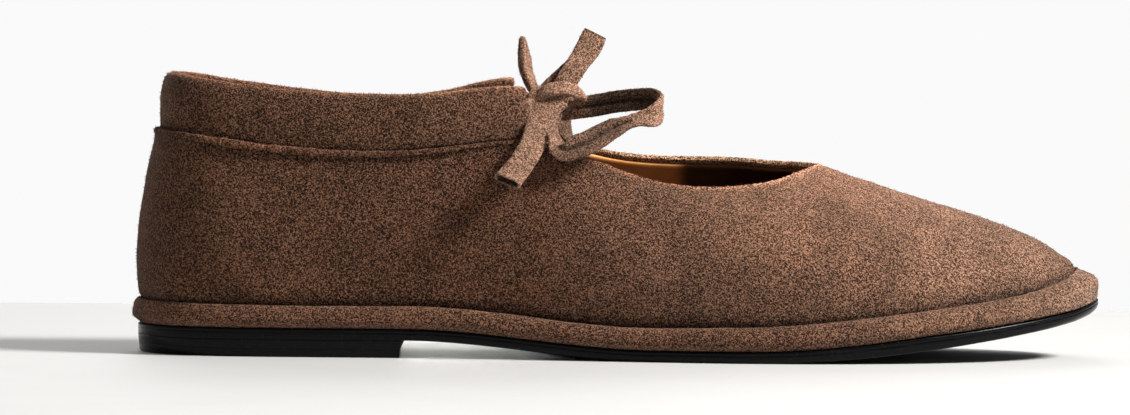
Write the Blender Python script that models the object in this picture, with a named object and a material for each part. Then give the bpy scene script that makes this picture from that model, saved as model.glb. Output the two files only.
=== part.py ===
"""Right ballet flat in suede: a low slip-on whose collar is a folded channel, closed by a flat drawstring bow.

The shoe stands on the floor at Z = 0, toe towards +X, inner (medial) side towards +Y.
Every point around the shoe has a turn angle: 0 at the back of the heel, growing along the outer (lateral)
side to pi at the tip of the toe, and back along the inner side. Equal stations on both sides have mirrored turns.
"""

from collections import namedtuple
import math

import bmesh
import bpy
from mathutils import Vector
import numpy as np

MM = 0.001

# Main sizes of the shoe
LENGTH = 262 * MM  # heel to toe over the rolled welt
WIDTH = 88 * MM  # across the ball over the rolled welt
SEAM_HEIGHT = 59.9 * MM  # floor to the collar seam at the back
COLLAR_HEIGHT = 15.6 * MM  # seam to the folded top edge
WALL = 2.0 * MM  # suede with its leather lining
GAP = 0.3 * MM  # between pieces that meet

# Bottom unit
HEEL_LIFT = 4.7 * MM
HEEL_END = 0.283  # share of LENGTH where the heel stops
BREAST_RAKE = 2.4 * MM  # how far the heel's front face leans forward
HEEL_TUCK = 0.5 * MM  # how far the heel's foot is drawn in
OUTSOLE_THICK = 2.9 * MM
TOE_THICKER = 0.8 * MM  # the outsole gains this towards the toe
OUTSOLE_EDGE = 0.4 * MM  # rounding of the outsole's rim
MIDSOLE_THICK = 6.5 * MM  # height of the suede roll
PLATE = 0.86  # share of it where the upper and the insole stand
TIP_REACH = 0.5  # turn over which the roll takes its shape at the tip
TOE_SPRING = 13.4 * MM
WAIST_END = 0.535  # share of LENGTH where the sole meets the floor
BALL_END = 0.63  # share of LENGTH where the toe spring starts
WELT = 6.6 * MM  # width of the roll at the tip, outside the upper
SOLE_INSET = 1.5 * MM  # the outsole lies this far inside the roll at the heel
INSOLE_THICK = 1.8 * MM
INSOLE_ROOM = 0.6 * MM  # between the insole's rim and the lining

# Collar and its seam
COLLAR_THICK = 4.4 * MM
COLLAR_BULGE = 0.6 * MM
COLLAR_STEP = 1.0 * MM  # the collar stands this far inside the upper's outer face
COLLAR_SWELL = 0.3 * MM  # extra height half-way along its sides
COLLAR_FALL = 0.9 * MM  # height lost at its front ends
COLLAR_LEAN = math.radians(4)
CHANNEL_WIDE = 7.2 * MM
CHANNEL_DEEP = 2.9 * MM
CHANNEL_AT = 0.56  # share of the collar's height where the channel runs
LIP_OUT = 1.2 * MM  # the seam allowance that stands out below the collar
LIP_FALL = 1.5 * MM
RIM_CROWN = 0.35 * MM  # rounding of the upper's cut edge

# Drawstring
LACE_WIDE = 6.0 * MM
LACE_THICK = 1.7 * MM
LACE_HIDDEN = 6 * MM  # the stretch of lace inside each end of the channel
KNOT_AT = (113.4 * MM, -12.0 * MM, 68.4 * MM)  # from the back of the heel, the middle line and the floor
KNOT_RADII = (6.4 * MM, 4.6 * MM, 5.0 * MM)

# Resolution
AROUND = 80  # points round the shoe
COLLAR_STEPS = 18  # points of it from the back of the heel to each front end of the collar
LACE_STEP = 1.6 * MM

# The roll's outer line. along is a share of LENGTH, across a share of WIDTH, welt a share of WELT and
# swell the roll's height as a share of MIDSOLE_THICK.
Outline = namedtuple("Outline", "side along across welt swell")
OUTLINE = (
    Outline("lateral", 0.000, 0.000, 0.32, 1.09),
    Outline("lateral", 0.035, -0.240, 0.32, 1.06),
    Outline("lateral", 0.120, -0.335, 0.34, 1.00),
    Outline("lateral", 0.250, -0.345, 0.36, 1.00),
    Outline("lateral", 0.380, -0.378, 0.40, 1.02),
    Outline("lateral", 0.500, -0.440, 0.46, 0.98),
    Outline("lateral", 0.630, -0.500, 0.52, 1.06),
    Outline("lateral", 0.760, -0.472, 0.58, 1.14),
    Outline("lateral", 0.870, -0.374, 0.68, 1.06),
    Outline("lateral", 0.950, -0.222, 0.82, 1.02),
    Outline("lateral", 1.000, 0.040, 1.00, 1.38),
    Outline("medial", 0.960, 0.258, 0.82, 1.20),
    Outline("medial", 0.885, 0.392, 0.68, 1.10),
    Outline("medial", 0.800, 0.472, 0.58, 1.12),
    Outline("medial", 0.715, 0.500, 0.52, 1.08),
    Outline("medial", 0.600, 0.435, 0.46, 1.00),
    Outline("medial", 0.500, 0.342, 0.42, 1.00),
    Outline("medial", 0.400, 0.284, 0.40, 1.00),
    Outline("medial", 0.280, 0.290, 0.38, 1.00),
    Outline("medial", 0.150, 0.330, 0.34, 1.00),
    Outline("medial", 0.035, 0.236, 0.32, 1.06),
)

# The upper's wall from the welt to its top line. flare and crown are degrees from the vertical, outwards at the
# foot and inwards at the top; pull and grip say how long each end keeps its direction, as shares of the wall.
# The top line's place is a share of LENGTH, of WIDTH and of SEAM_HEIGHT.
Section = namedtuple("Section", "side along flare pull top_along top_across top_height crown grip")
SECTIONS = (
    Section("lateral", 0.000, 20, 0.22, 0.0237, 0.000, 1.000, 14, 0.35),
    Section("lateral", 0.035, 20, 0.22, 0.0500, -0.193, 0.990, 14, 0.35),
    Section("lateral", 0.120, 16, 0.22, 0.1220, -0.273, 0.947, 12, 0.34),
    Section("lateral", 0.250, 12, 0.24, 0.2480, -0.307, 0.914, 10, 0.34),
    Section("lateral", 0.340, 10, 0.26, 0.3280, -0.301, 0.938, 12, 0.34),
    Section("lateral", 0.420, 10, 0.28, 0.4045, -0.280, 0.969, 20, 0.35),
    Section("lateral", 0.510, 9, 0.30, 0.4700, -0.270, 0.902, 34, 0.36),
    Section("lateral", 0.630, 8, 0.34, 0.5500, -0.268, 0.789, 52, 0.38),
    Section("lateral", 0.760, 4, 0.34, 0.6400, -0.222, 0.785, 62, 0.41),
    Section("lateral", 0.870, -4, 0.26, 0.6820, -0.130, 0.830, 66, 0.42),
    Section("lateral", 0.950, -10, 0.20, 0.7010, -0.055, 0.858, 68, 0.42),
    Section("lateral", 1.000, -14, 0.18, 0.7090, 0.010, 0.868, 69, 0.42),
    Section("medial", 0.960, -10, 0.20, 0.7010, 0.062, 0.868, 68, 0.42),
    Section("medial", 0.885, -4, 0.26, 0.6830, 0.135, 0.870, 66, 0.42),
    Section("medial", 0.800, 2, 0.32, 0.6550, 0.205, 0.872, 63, 0.41),
    Section("medial", 0.715, 8, 0.32, 0.6150, 0.250, 0.882, 56, 0.40),
    Section("medial", 0.600, 12, 0.30, 0.5300, 0.272, 0.887, 44, 0.36),
    Section("medial", 0.500, 18, 0.28, 0.4600, 0.276, 0.938, 26, 0.34),
    Section("medial", 0.425, 24, 0.26, 0.3950, 0.280, 0.995, 15, 0.34),
    Section("medial", 0.350, 23, 0.26, 0.3350, 0.294, 0.935, 12, 0.34),
    Section("medial", 0.260, 20, 0.24, 0.2570, 0.300, 0.896, 10, 0.34),
    Section("medial", 0.150, 17, 0.22, 0.1500, 0.280, 0.928, 12, 0.34),
    Section("medial", 0.035, 20, 0.22, 0.0500, 0.190, 0.990, 14, 0.35),
)
FOOT_REACH = 0.14  # share of the wall over which its thickness turns level, so that its foot is flat
WALL_ROWS = (0, 0.06, 0.14, 0.24, 0.36, 0.48, 0.60, 0.72, 0.82, 0.90, 0.95, 0.98, 1.0)

# The roll's rim from its foot to its top. inset is a share of the welt's width, rise a share of its height
# and tip the same at the tip of the toe, where the roll slopes.
Rim = namedtuple("Rim", "inset rise tip")
ROLL = (
    Rim(0.16, 0.05, 0.05),
    Rim(0.00, 0.30, 0.28),
    Rim(0.02, 0.58, 0.50),
    Rim(0.22, 0.84, 0.70),
    Rim(0.52, 0.98, 0.84),
    Rim(0.80, 1.00, 0.95),
    Rim(0.90, 0.96, 1.00),
)

# The collar's folded section, from its outer foot over the fold to its inner foot.
# out is a share of COLLAR_THICK from the outer face inwards, up a share of the collar's height.
Fold = namedtuple("Fold", "inward up bulge")
FOLDS = (
    Fold(0.00, 0.00, 0.0),
    Fold(0.00, 0.22, 0.6),
    Fold(0.00, 0.50, 1.0),
    Fold(0.00, 0.74, 0.7),
    Fold(0.06, 0.90, 0.2),
    Fold(0.26, 0.985, 0.0),
    Fold(0.50, 1.00, 0.0),
    Fold(0.76, 0.975, 0.0),
    Fold(0.96, 0.88, 0.0),
    Fold(1.00, 0.60, 0.0),
    Fold(1.00, 0.28, 0.0),
    Fold(0.95, 0.00, 0.0),
)

# Each strap of the bow: places in mm from the knot's middle, and the way its width points.
Strap = namedtuple("Strap", "x y z wide_x wide_y wide_z")
LOOP_FRONT = (
    Strap(7.2, 0.0, -1.8, 0.0, -0.1, 1.0),
    Strap(12.0, -0.8, -1.1, 0.0, -0.1, 1.0),
    Strap(17.0, -2.0, -0.3, 0.0, -0.1, 1.0),
    Strap(22.4, -3.6, 0.6, 0.0, -0.1, 1.0),
    Strap(26.6, -5.6, 0.8, 0.0, -0.1, 1.0),
    Strap(28.6, -8.6, -0.8, 0.0, -0.1, 1.0),
    Strap(27.0, -11.8, -2.8, 0.0, 0.1, 1.0),
    Strap(22.6, -13.4, -4.5, -0.2, 0.4, 0.9),
    Strap(16.6, -14.6, -6.5, -0.3, 0.5, 0.8),
    Strap(10.6, -16.4, -9.2, -0.4, 0.3, 0.8),
    Strap(6.4, -18.8, -11.2, -0.4, 0.0, 0.9),
    Strap(4.0, -19.4, -11.8, -0.2, -0.4, 0.9),
    Strap(2.4, -18.2, -11.2, -0.1, -0.5, 0.86),
    Strap(2.0, -15.0, -9.4, -0.1, -0.5, 0.86),
    Strap(2.2, -11.0, -7.6, -0.2, -0.4, 0.86),
    Strap(2.4, -7.2, -6.6, -0.3, -0.3, 0.86),
)
LOOP_BACK = (
    Strap(-2.8, 5.6, 3.8, 0.0, 1.0, -0.28),
    Strap(-4.8, 5.9, 7.2, 0.0, 1.0, -0.28),
    Strap(-6.0, 6.8, 10.2, 0.0, 1.0, -0.28),
    Strap(-6.5, 7.4, 12.5, 0.0, 1.0, -0.28),
    Strap(-6.8, 8.0, 14.7, 0.0, 1.0, -0.28),
    Strap(-7.2, 8.2, 15.5, 0.0, 1.0, -0.28),
    Strap(-8.0, 8.3, 15.9, 0.0, 1.0, -0.28),
    Strap(-8.8, 8.2, 15.5, 0.0, 1.0, -0.28),
    Strap(-9.2, 8.0, 14.7, 0.0, 1.0, -0.28),
    Strap(-8.9, 7.4, 12.5, 0.0, 1.0, -0.28),
    Strap(-8.4, 6.8, 10.2, 0.0, 1.0, -0.28),
    Strap(-7.2, 5.9, 7.2, 0.0, 1.0, -0.28),
    Strap(-5.5, 5.6, 3.9, 0.0, 1.0, -0.28),
)
END_FRONT = (
    Strap(-0.6, -5.8, -1.0, 1.0, -0.1, 0.3),
    Strap(-2.2, -10.6, -4.6, 1.0, -0.2, 0.3),
    Strap(-3.9, -15.6, -8.6, 1.0, -0.1, 0.4),
    Strap(-6.0, -20.0, -12.6, 1.0, 0.0, 0.5),
    Strap(-8.8, -22.8, -17.0, 1.0, 0.0, 0.6),
    Strap(-12.0, -24.4, -21.8, 1.0, 0.0, 0.6),
)
END_BACK = (
    Strap(2.1, 0.7, 5.6, 1.0, 0.1, -0.5),
    Strap(4.6, 2.2, 9.2, 1.0, 0.1, -0.5),
    Strap(8.2, 4.2, 13.8, 1.0, 0.2, -0.6),
    Strap(11.9, 6.0, 18.8, 1.0, 0.2, -0.7),
)
# The bar runs from one channel mouth to the other, behind the knot.
BAR_MIDDLE = (
    Strap(-5.6, -7.2, -1.8, 0.0, 0.0, 1.0),
    Strap(-6.9, -4.4, -1.7, 0.0, 0.0, 1.0),
    Strap(-8.6, -0.4, -1.6, 0.0, 0.0, 1.0),
    Strap(-6.0, 5.0, -2.2, 0.0, 0.0, 1.0),
    Strap(0.4, 8.8, -4.6, 0.0, 0.0, 1.0),
    Strap(5.2, 12.6, -6.4, 0.0, 0.0, 1.0),
    Strap(4.2, 18.0, -5.6, 0.0, 0.0, 1.0),
    Strap(-1.8, 25.4, -2.8, 0.0, 0.0, 1.0),
)


def turn_of(row):
    """The turn angle of a table's row."""
    turn = math.acos(1 - 2 * row.along)
    return turn if row.side == "lateral" else 2 * math.pi - turn


def closed_curve(rows, column, turns):
    """A column of a table as a smooth closed function of the turn, by a periodic cubic spline."""
    knots = np.array([turn_of(row) for row in rows])
    values = np.array([getattr(row, column) for row in rows], float)
    count = len(knots)
    steps = np.append(np.diff(knots), knots[0] + 2 * math.pi - knots[-1])
    rises = (np.roll(values, -1) - values) / steps
    system = np.zeros((count, count))
    for i in range(count):
        system[i, i - 1] += steps[i - 1]
        system[i, i] += 2 * (steps[i - 1] + steps[i])
        system[i, (i + 1) % count] += steps[i]
    bends = np.linalg.solve(system, 6 * (rises - np.roll(rises, 1)))
    turns = np.mod(np.asarray(turns, float), 2 * math.pi)
    i = np.clip(np.searchsorted(knots, turns, side="right") - 1, 0, count - 1)
    after = (i + 1) % count
    t = turns - knots[i]
    slope = rises[i] - steps[i] * (2 * bends[i] + bends[after]) / 6
    return values[i] + t * (slope + t * (bends[i] / 2 + t * (bends[after] - bends[i]) / (6 * steps[i])))


def ease(t):
    """0 to 1 with soft ends."""
    t = np.clip(t, 0, 1)
    return t * t * (3 - 2 * t)


def unit(vectors):
    return vectors / np.linalg.norm(vectors, axis=-1, keepdims=True)


def outline(turns):
    """The roll's outer line in plan."""
    along = (1 - np.cos(turns)) / 2
    across = closed_curve(OUTLINE, "across", turns)
    return np.stack([(along - 0.5) * LENGTH, across * WIDTH], axis=-1)


def inward(turns):
    """The unit vector in plan that points from the outline into the shoe."""
    small = 1e-3
    ahead = unit(outline(turns + small) - outline(turns - small))
    return np.stack([-ahead[..., 1], ahead[..., 0]], axis=-1)


def inset_line(turns, inset):
    return outline(turns) + inward(turns) * np.asarray(inset)[..., None]


def rest_height(x):
    """The underside of the outsole: raised by the heel, on the floor at the ball, sprung at the toe."""
    along = x / LENGTH + 0.5
    waist = ease((WAIST_END - along) / (WAIST_END - HEEL_END))
    toe = np.clip((along - BALL_END) / (1 - BALL_END), 0, None)
    return HEEL_LIFT * waist + TOE_SPRING * toe**2


def outsole_top(x):
    along = x / LENGTH + 0.5
    return rest_height(x) + OUTSOLE_THICK + TOE_THICKER * ease((along - BALL_END) / 0.2)


def plate_top(x):
    """The midsole's top, inside the roll."""
    return outsole_top(x) + GAP + PLATE * MIDSOLE_THICK


def welt_width(turns):
    return WELT * closed_curve(OUTLINE, "welt", turns)


def wall_points(turns, rows):
    """The upper's outer face without its seam lip: one point for each turn and each row from foot (0) to top (1)."""
    foot = inset_line(turns, welt_width(turns) + GAP)
    foot = np.concatenate([foot, (plate_top(foot[..., 0]) + GAP)[..., None]], axis=-1)
    top = np.stack(
        [
            (closed_curve(SECTIONS, "top_along", turns) - 0.5) * LENGTH,
            closed_curve(SECTIONS, "top_across", turns) * WIDTH,
            closed_curve(SECTIONS, "top_height", turns) * SEAM_HEIGHT,
        ],
        axis=-1,
    )
    flare = np.radians(closed_curve(SECTIONS, "flare", turns))
    crown = np.radians(closed_curve(SECTIONS, "crown", turns))
    chord = np.linalg.norm(top - foot, axis=-1)
    pull = chord * closed_curve(SECTIONS, "pull", turns)
    grip = chord * closed_curve(SECTIONS, "grip", turns)
    normal = inward(turns)
    over = unit(top[..., :2] - foot[..., :2] + 0.1 * LENGTH * normal)
    low = np.concatenate([-normal * np.sin(flare)[..., None], np.cos(flare)[..., None]], axis=-1)
    high = np.concatenate([over * np.sin(crown)[..., None], np.cos(crown)[..., None]], axis=-1)
    corners = (foot, foot + low * pull[..., None], top - high * grip[..., None], top)
    t = np.asarray(rows, float)[:, None]
    weights = ((1 - t) ** 3, 3 * t * (1 - t) ** 2, 3 * t**2 * (1 - t), t**3)
    return sum(corner[..., None, :] * weight for corner, weight in zip(corners, weights))


def wall_normals(turns, rows):
    """Outward unit normals of wall_points."""
    small = 1e-4
    rows = np.asarray(rows, float)
    around = wall_points(turns + small, rows) - wall_points(turns - small, rows)
    upwards = wall_points(turns, rows + small) - wall_points(turns, rows - small)
    return unit(np.cross(around, upwards))


def collar_share(turns):
    """1 under the collar, fading to 0 past its front ends."""
    turns = np.mod(turns, 2 * math.pi)
    away = np.minimum(turns, 2 * math.pi - turns)
    end = COLLAR_STEPS * 2 * math.pi / AROUND
    return 1 - ease((away - end) / 0.12)


def all_turns():
    return np.arange(AROUND) * 2 * math.pi / AROUND


def build(name, points, faces, material):
    """One closed mesh object."""
    mesh = bpy.data.meshes.new(name)
    mesh.from_pydata([tuple(point) for point in points], [], faces)
    shape = bmesh.new()
    shape.from_mesh(mesh)
    bmesh.ops.recalc_face_normals(shape, faces=shape.faces)
    shape.to_mesh(mesh)
    shape.free()
    mesh.materials.append(material)
    mesh.shade_smooth()
    mesh.set_sharp_from_angle(angle=math.radians(50))
    piece = bpy.data.objects.new(name, mesh)
    bpy.context.scene.collection.objects.link(piece)
    return piece


def bands(rings, count, closed):
    """Quads between rings of points, each ring closed; the last ring meets the first if closed."""
    faces = []
    for a in range(rings if closed else rings - 1):
        b = (a + 1) % rings
        for i in range(count):
            j = (i + 1) % count
            faces.append((a * count + i, a * count + j, b * count + j, b * count + i))
    return faces


def across_faces(start, count):
    """Faces over a ring that runs round the shoe, joining equal stations of its two sides."""
    half = count // 2
    faces = [(start, start + 1, start + count - 1)]
    for i in range(1, half - 1):
        faces.append((start + i, start + i + 1, start + count - i - 1, start + count - i))
    faces.append((start + half - 1, start + half, start + half + 1))
    return faces


def ringed_plate(name, rings, material):
    """A solid whose rim is a stack of rings round the shoe, closed flat across its first and last ring."""
    count = len(rings[0])
    faces = bands(len(rings), count, closed=False)
    faces += across_faces(0, count) + across_faces((len(rings) - 1) * count, count)
    return build(name, np.concatenate(rings), faces, material)


def ring(turns, inset, height):
    """A closed ring inside the outline; height is a function of x."""
    line = inset_line(turns, inset)
    return np.concatenate([line, height(line[:, 0])[:, None]], axis=-1)


def sole_inset(turns):
    """The outsole's rim lies inside the roll at the heel and meets it at the toe."""
    along = (1 - np.cos(turns)) / 2
    return SOLE_INSET * (1 - along**2)


def make_outsole(material):
    turns = all_turns()
    rim = sole_inset(turns)
    rings = [
        ring(turns, rim + OUTSOLE_EDGE, rest_height),
        ring(turns, rim, lambda x: rest_height(x) + OUTSOLE_EDGE),
        ring(turns, rim, lambda x: outsole_top(x) - OUTSOLE_EDGE),
        ring(turns, rim + OUTSOLE_EDGE, outsole_top),
    ]
    return ringed_plate("outsole", rings, material)


def make_heel(material):
    """The low heel under the outsole, with a raked front face."""
    turns = all_turns()
    along = (1 - np.cos(turns)) / 2
    end = turns[:][along < HEEL_END]
    last = math.acos(1 - 2 * HEEL_END)
    side = [last] + [turn for turn in end if 0 < turn < math.pi][::-1]
    side += [0.0] + [2 * math.pi - turn for turn in side[::-1]]
    side = np.array(side)
    rings = []
    for tuck, height, rake in (
        (HEEL_TUCK * 2, 0, -BREAST_RAKE),
        (HEEL_TUCK, HEEL_TUCK, -BREAST_RAKE * 0.9),
        (0, HEEL_LIFT - GAP, 0),
    ):
        line = inset_line(side, sole_inset(side) + tuck)
        line[0, 0] += rake
        line[-1, 0] += rake
        rings.append(np.concatenate([line, np.full((len(line), 1), height)], axis=-1))
    count = len(side)
    faces = bands(len(rings), count, closed=False)
    top = (len(rings) - 1) * count
    faces += [tuple(range(count)), tuple(range(top, top + count))]
    return build("heel", np.concatenate(rings), faces, material)


def make_midsole(material):
    """The suede-wrapped platform, whose rim is a soft roll outside the upper."""
    turns = all_turns()
    welt = welt_width(turns)
    swell = closed_curve(OUTLINE, "swell", turns) * (MIDSOLE_THICK - GAP)
    at_tip = 1 - ease(np.abs(turns - math.pi) / TIP_REACH)
    rings = [ring(turns, welt * 0.6 + sole_inset(turns), lambda x: outsole_top(x) + GAP)]
    for rim in ROLL:
        foot = sole_inset(turns) * (rim is ROLL[0])
        rise = rim.rise + (rim.tip - rim.rise) * at_tip
        rings.append(ring(turns, welt * rim.inset + foot, lambda x: outsole_top(x) + GAP))
        rings[-1][:, 2] += rise * swell
    rings.append(ring(turns, welt, plate_top))
    return ringed_plate("midsole", rings, material)


def make_insole(material):
    turns = all_turns()
    foot = wall_points(turns, [0])[:, 0]
    normal = inward(turns)
    base = foot[:, 2]
    lean = np.clip(-np.tan(np.radians(closed_curve(SECTIONS, "flare", turns))), 0, None)
    rings = []
    for inset, rise in ((0.6, 0), (0, 0.3), (0, 0.75), (0.6, 1)):
        room = WALL + INSOLE_ROOM + (inset + lean * rise) * INSOLE_THICK
        line = foot[:, :2] + normal * room[:, None]
        rings.append(np.concatenate([line, (base + rise * INSOLE_THICK)[:, None]], axis=-1))
    return ringed_plate("insole", rings, material)


def upper_faces(turns, rows):
    """Outer and inner face of the upper, with the seam lip on the outer one."""
    outer, normal = wall_points(turns, rows), wall_normals(turns, rows)
    level = normal * np.array([1, 1, 0])
    footing = ease(np.asarray(rows) / FOOT_REACH)[:, None]
    inner = outer - unit(level + (normal - level) * footing) * WALL
    below = np.linalg.norm(outer - outer[:, -1:], axis=-1)
    lip = LIP_OUT * np.exp(-((below / LIP_FALL) ** 2)) * collar_share(turns)[:, None]
    return outer + normal * lip[..., None], inner


def make_upper(material):
    """Vamp and quarters in one wall, open underneath and along the top line."""
    turns = all_turns()
    outer, inner = upper_faces(turns, WALL_ROWS)
    crown = (outer[:, -1] + inner[:, -1]) / 2 + np.array([0, 0, RIM_CROWN])
    rings = [outer[:, i] for i in range(len(WALL_ROWS))] + [crown]
    rings += [inner[:, i] for i in reversed(range(len(WALL_ROWS)))]
    faces = bands(len(rings), AROUND, closed=True)
    return build("upper", np.concatenate(rings), faces, material)


def collar_turns():
    return np.arange(-COLLAR_STEPS, COLLAR_STEPS + 1) * 2 * math.pi / AROUND


def collar_frame(turns):
    """The collar's foot line, with its inward and upward directions."""
    foot = wall_points(turns, [1])[:, 0]
    small = 1e-3
    ahead = (wall_points(turns + small, [1]) - wall_points(turns - small, [1]))[:, 0]
    into = unit(np.stack([-ahead[:, 1], ahead[:, 0], np.zeros(len(ahead))], axis=-1))
    upward = into * math.sin(COLLAR_LEAN) + np.array([0, 0, math.cos(COLLAR_LEAN)])
    return foot + into * COLLAR_STEP + np.array([0, 0, RIM_CROWN + GAP]), into, upward


def collar_height(turns):
    """From the gap over the upper to the fold: a little higher half-way along each side."""
    share = np.abs(turns) / collar_turns()[-1]
    return COLLAR_HEIGHT - RIM_CROWN - GAP + COLLAR_SWELL * np.sin(math.pi * share) - COLLAR_FALL * share**8


def channel_middle(turns):
    """The middle line of the lace channel."""
    foot, into, upward = collar_frame(turns)
    return foot + into * COLLAR_THICK * 0.5 + upward * collar_height(turns)[:, None] * CHANNEL_AT


def make_collar(material):
    """The folded suede band over the upper's top edge, with the lace channel right through it."""
    turns = collar_turns()
    foot, into, upward = collar_frame(turns)
    height = collar_height(turns)
    middle = channel_middle(turns)
    count = len(FOLDS)
    rings = []
    for i in range(len(turns)):
        outside = [
            foot[i] + into[i] * (fold.inward * COLLAR_THICK - fold.bulge * COLLAR_BULGE) + upward[i] * fold.up * height[i]
            for fold in FOLDS
        ]
        channel = []
        for k in range(count):
            angle = 2 * math.pi * (k + 0.5) / count - math.radians(115)
            round_x = math.copysign(abs(math.cos(angle)) ** 0.6, math.cos(angle))
            round_y = math.copysign(abs(math.sin(angle)) ** 0.6, math.sin(angle))
            channel.append(middle[i] - into[i] * round_x * CHANNEL_DEEP / 2 + upward[i] * round_y * CHANNEL_WIDE / 2)
        rings.append(outside + channel)
    points = [point for row in rings for point in row]
    stride = 2 * count
    faces = []
    for i in range(len(turns) - 1):
        for k in range(count):
            n = (k + 1) % count
            a, b = i * stride, (i + 1) * stride
            faces.append((a + k, a + n, b + n, b + k))
            faces.append((a + count + k, b + count + k, b + count + n, a + count + n))
    for a in (0, (len(turns) - 1) * stride):
        for k in range(count):
            n = (k + 1) % count
            faces.append((a + k, a + count + k, a + count + n, a + n))
    return build("collar", points, faces, material)


def smooth_path(rows, step):
    """Points about step apart on a smooth curve through the rows, each with its width direction."""
    rows = np.asarray(rows, float)
    padded = np.concatenate([2 * rows[:1] - rows[1:2], rows, 2 * rows[-1:] - rows[-2:-1]])
    found = []
    for a, b, c, d in zip(padded, padded[1:], padded[2:], padded[3:]):
        count = max(1, round(float(np.linalg.norm(c[:3] - b[:3])) / step))
        for t in np.arange(count) / count:
            cubic = (-a + 3 * b - 3 * c + d) * t**3 + (2 * a - 5 * b + 4 * c - d) * t**2
            found.append(0.5 * (cubic + (c - a) * t + 2 * b))
    found.append(rows[-1])
    return np.array(found)


def strap_rings(path, wide, thick):
    """A flat strap's rounded section at each point of its path."""
    places, widths = path[:, :3], path[:, 3:]
    ahead = unit(np.gradient(places, axis=0))
    widths = unit(widths - ahead * (widths * ahead).sum(-1, keepdims=True))
    up = np.cross(ahead, widths)
    corner = 0.3 * thick
    profile = []
    for x, y in ((1, 1), (-1, 1), (-1, -1), (1, -1)):
        flat = (x * (wide / 2 - corner), y * thick / 2)
        side = (x * wide / 2, y * (thick / 2 - corner))
        profile += [side, flat] if x * y > 0 else [flat, side]
    return [
        [place + width * a + normal * b for a, b in profile] for place, width, normal in zip(places, widths, up)
    ]


def make_strap(name, path, material):
    rings = strap_rings(path, LACE_WIDE, LACE_THICK)
    count = len(rings[0])
    faces = bands(len(rings), count, closed=False)
    last = (len(rings) - 1) * count
    faces += [tuple(range(count)), tuple(range(last, last + count))]
    return build(name, [point for row in rings for point in row], faces, material)


def knot_middle():
    return np.array(KNOT_AT) - np.array([LENGTH / 2, 0, 0])


def bow_path(rows):
    """A strap's table as places in the shoe, with width directions."""
    table = np.array([tuple(row) for row in rows], float)
    table[:, :3] = table[:, :3] * MM + knot_middle()
    return smooth_path(table, LACE_STEP)


def mouth_points(turn, back):
    """Two points of the lace at a channel mouth: one hidden inside it, one just outside."""
    edge = channel_middle(np.array([turn]))[0]
    behind = channel_middle(np.array([turn + back]))[0]
    into = unit(behind - edge)
    upward = collar_frame(np.array([turn]))[2][0]
    return [(*(edge + into * distance), *upward) for distance in (LACE_HIDDEN, 0, -0.8 * MM)]


def bar_path():
    end = collar_turns()[-1]
    middle = [(*(np.array(row[:3]) * MM + knot_middle()), *row[3:]) for row in BAR_MIDDLE]
    small = 0.05
    first = mouth_points(end, -small)
    last = mouth_points(-end, small)[::-1]
    return smooth_path(first + middle + last, LACE_STEP)


def make_knot(material):
    """The knot's plain body, which the straps leave."""
    shape = bmesh.new()
    bmesh.ops.create_uvsphere(shape, u_segments=16, v_segments=9, radius=1)
    middle = knot_middle()
    points = [middle + np.array(vertex.co) * np.array(KNOT_RADII) for vertex in shape.verts]
    faces = [tuple(vertex.index for vertex in face.verts) for face in shape.faces]
    shape.free()
    return build("lace_knot", points, faces, material)


def finish(name, colour, roughness):
    material = bpy.data.materials.new(name)
    material.use_nodes = True
    shader = material.node_tree.nodes["Principled BSDF"]
    shader.inputs["Base Color"].default_value = (*colour, 1)
    shader.inputs["Roughness"].default_value = roughness
    shader.inputs["Metallic"].default_value = 0
    return material


def main():
    for old in list(bpy.data.objects):
        bpy.data.objects.remove(old)
    suede = finish("brown_suede", (0.135, 0.062, 0.036), 0.95)
    black = finish("black_sole", (0.012, 0.012, 0.013), 0.42)
    tan = finish("tan_lining", (0.42, 0.19, 0.07), 0.5)
    make_outsole(black)
    make_heel(black)
    make_midsole(suede)
    make_insole(tan)
    make_upper(suede)
    make_collar(suede)
    make_strap("lace_bar", bar_path(), suede)
    make_knot(suede)
    for name, rows in (
        ("lace_loop_front", LOOP_FRONT),
        ("lace_loop_back", LOOP_BACK),
        ("lace_end_front", END_FRONT),
        ("lace_end_back", END_BACK),
    ):
        make_strap(name, bow_path(rows), suede)


main()
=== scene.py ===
"""Look of the right suede ballet flat: nap, folded collar, seam edge, drawstring bow, lining and black sole.

The tables and the surface functions are those of the solid model, so every piece lies where its solid does.
"""

from collections import namedtuple
import math

import bpy
from mathutils import Matrix, Vector, noise
import numpy as np

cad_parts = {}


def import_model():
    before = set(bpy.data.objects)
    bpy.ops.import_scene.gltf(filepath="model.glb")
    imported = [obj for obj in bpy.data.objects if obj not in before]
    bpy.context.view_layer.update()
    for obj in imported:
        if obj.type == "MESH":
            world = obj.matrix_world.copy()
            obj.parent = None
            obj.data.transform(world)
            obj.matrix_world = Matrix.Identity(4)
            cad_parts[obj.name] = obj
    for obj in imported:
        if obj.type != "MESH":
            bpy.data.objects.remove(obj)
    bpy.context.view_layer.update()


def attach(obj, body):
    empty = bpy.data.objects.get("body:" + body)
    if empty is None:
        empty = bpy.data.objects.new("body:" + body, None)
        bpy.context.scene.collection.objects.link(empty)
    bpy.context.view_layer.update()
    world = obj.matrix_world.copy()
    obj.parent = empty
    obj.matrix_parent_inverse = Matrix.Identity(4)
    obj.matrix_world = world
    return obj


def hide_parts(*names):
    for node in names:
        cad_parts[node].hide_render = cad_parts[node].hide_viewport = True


MM = 0.001

# Main sizes of the shoe
LENGTH = 262 * MM  # heel to toe over the rolled welt
WIDTH = 88 * MM  # across the ball over the rolled welt
SEAM_HEIGHT = 59.9 * MM  # floor to the collar seam at the back
COLLAR_HEIGHT = 15.6 * MM  # seam to the folded top edge
WALL = 2.0 * MM  # suede with its leather lining
GAP = 0.3 * MM  # between pieces that meet

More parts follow.
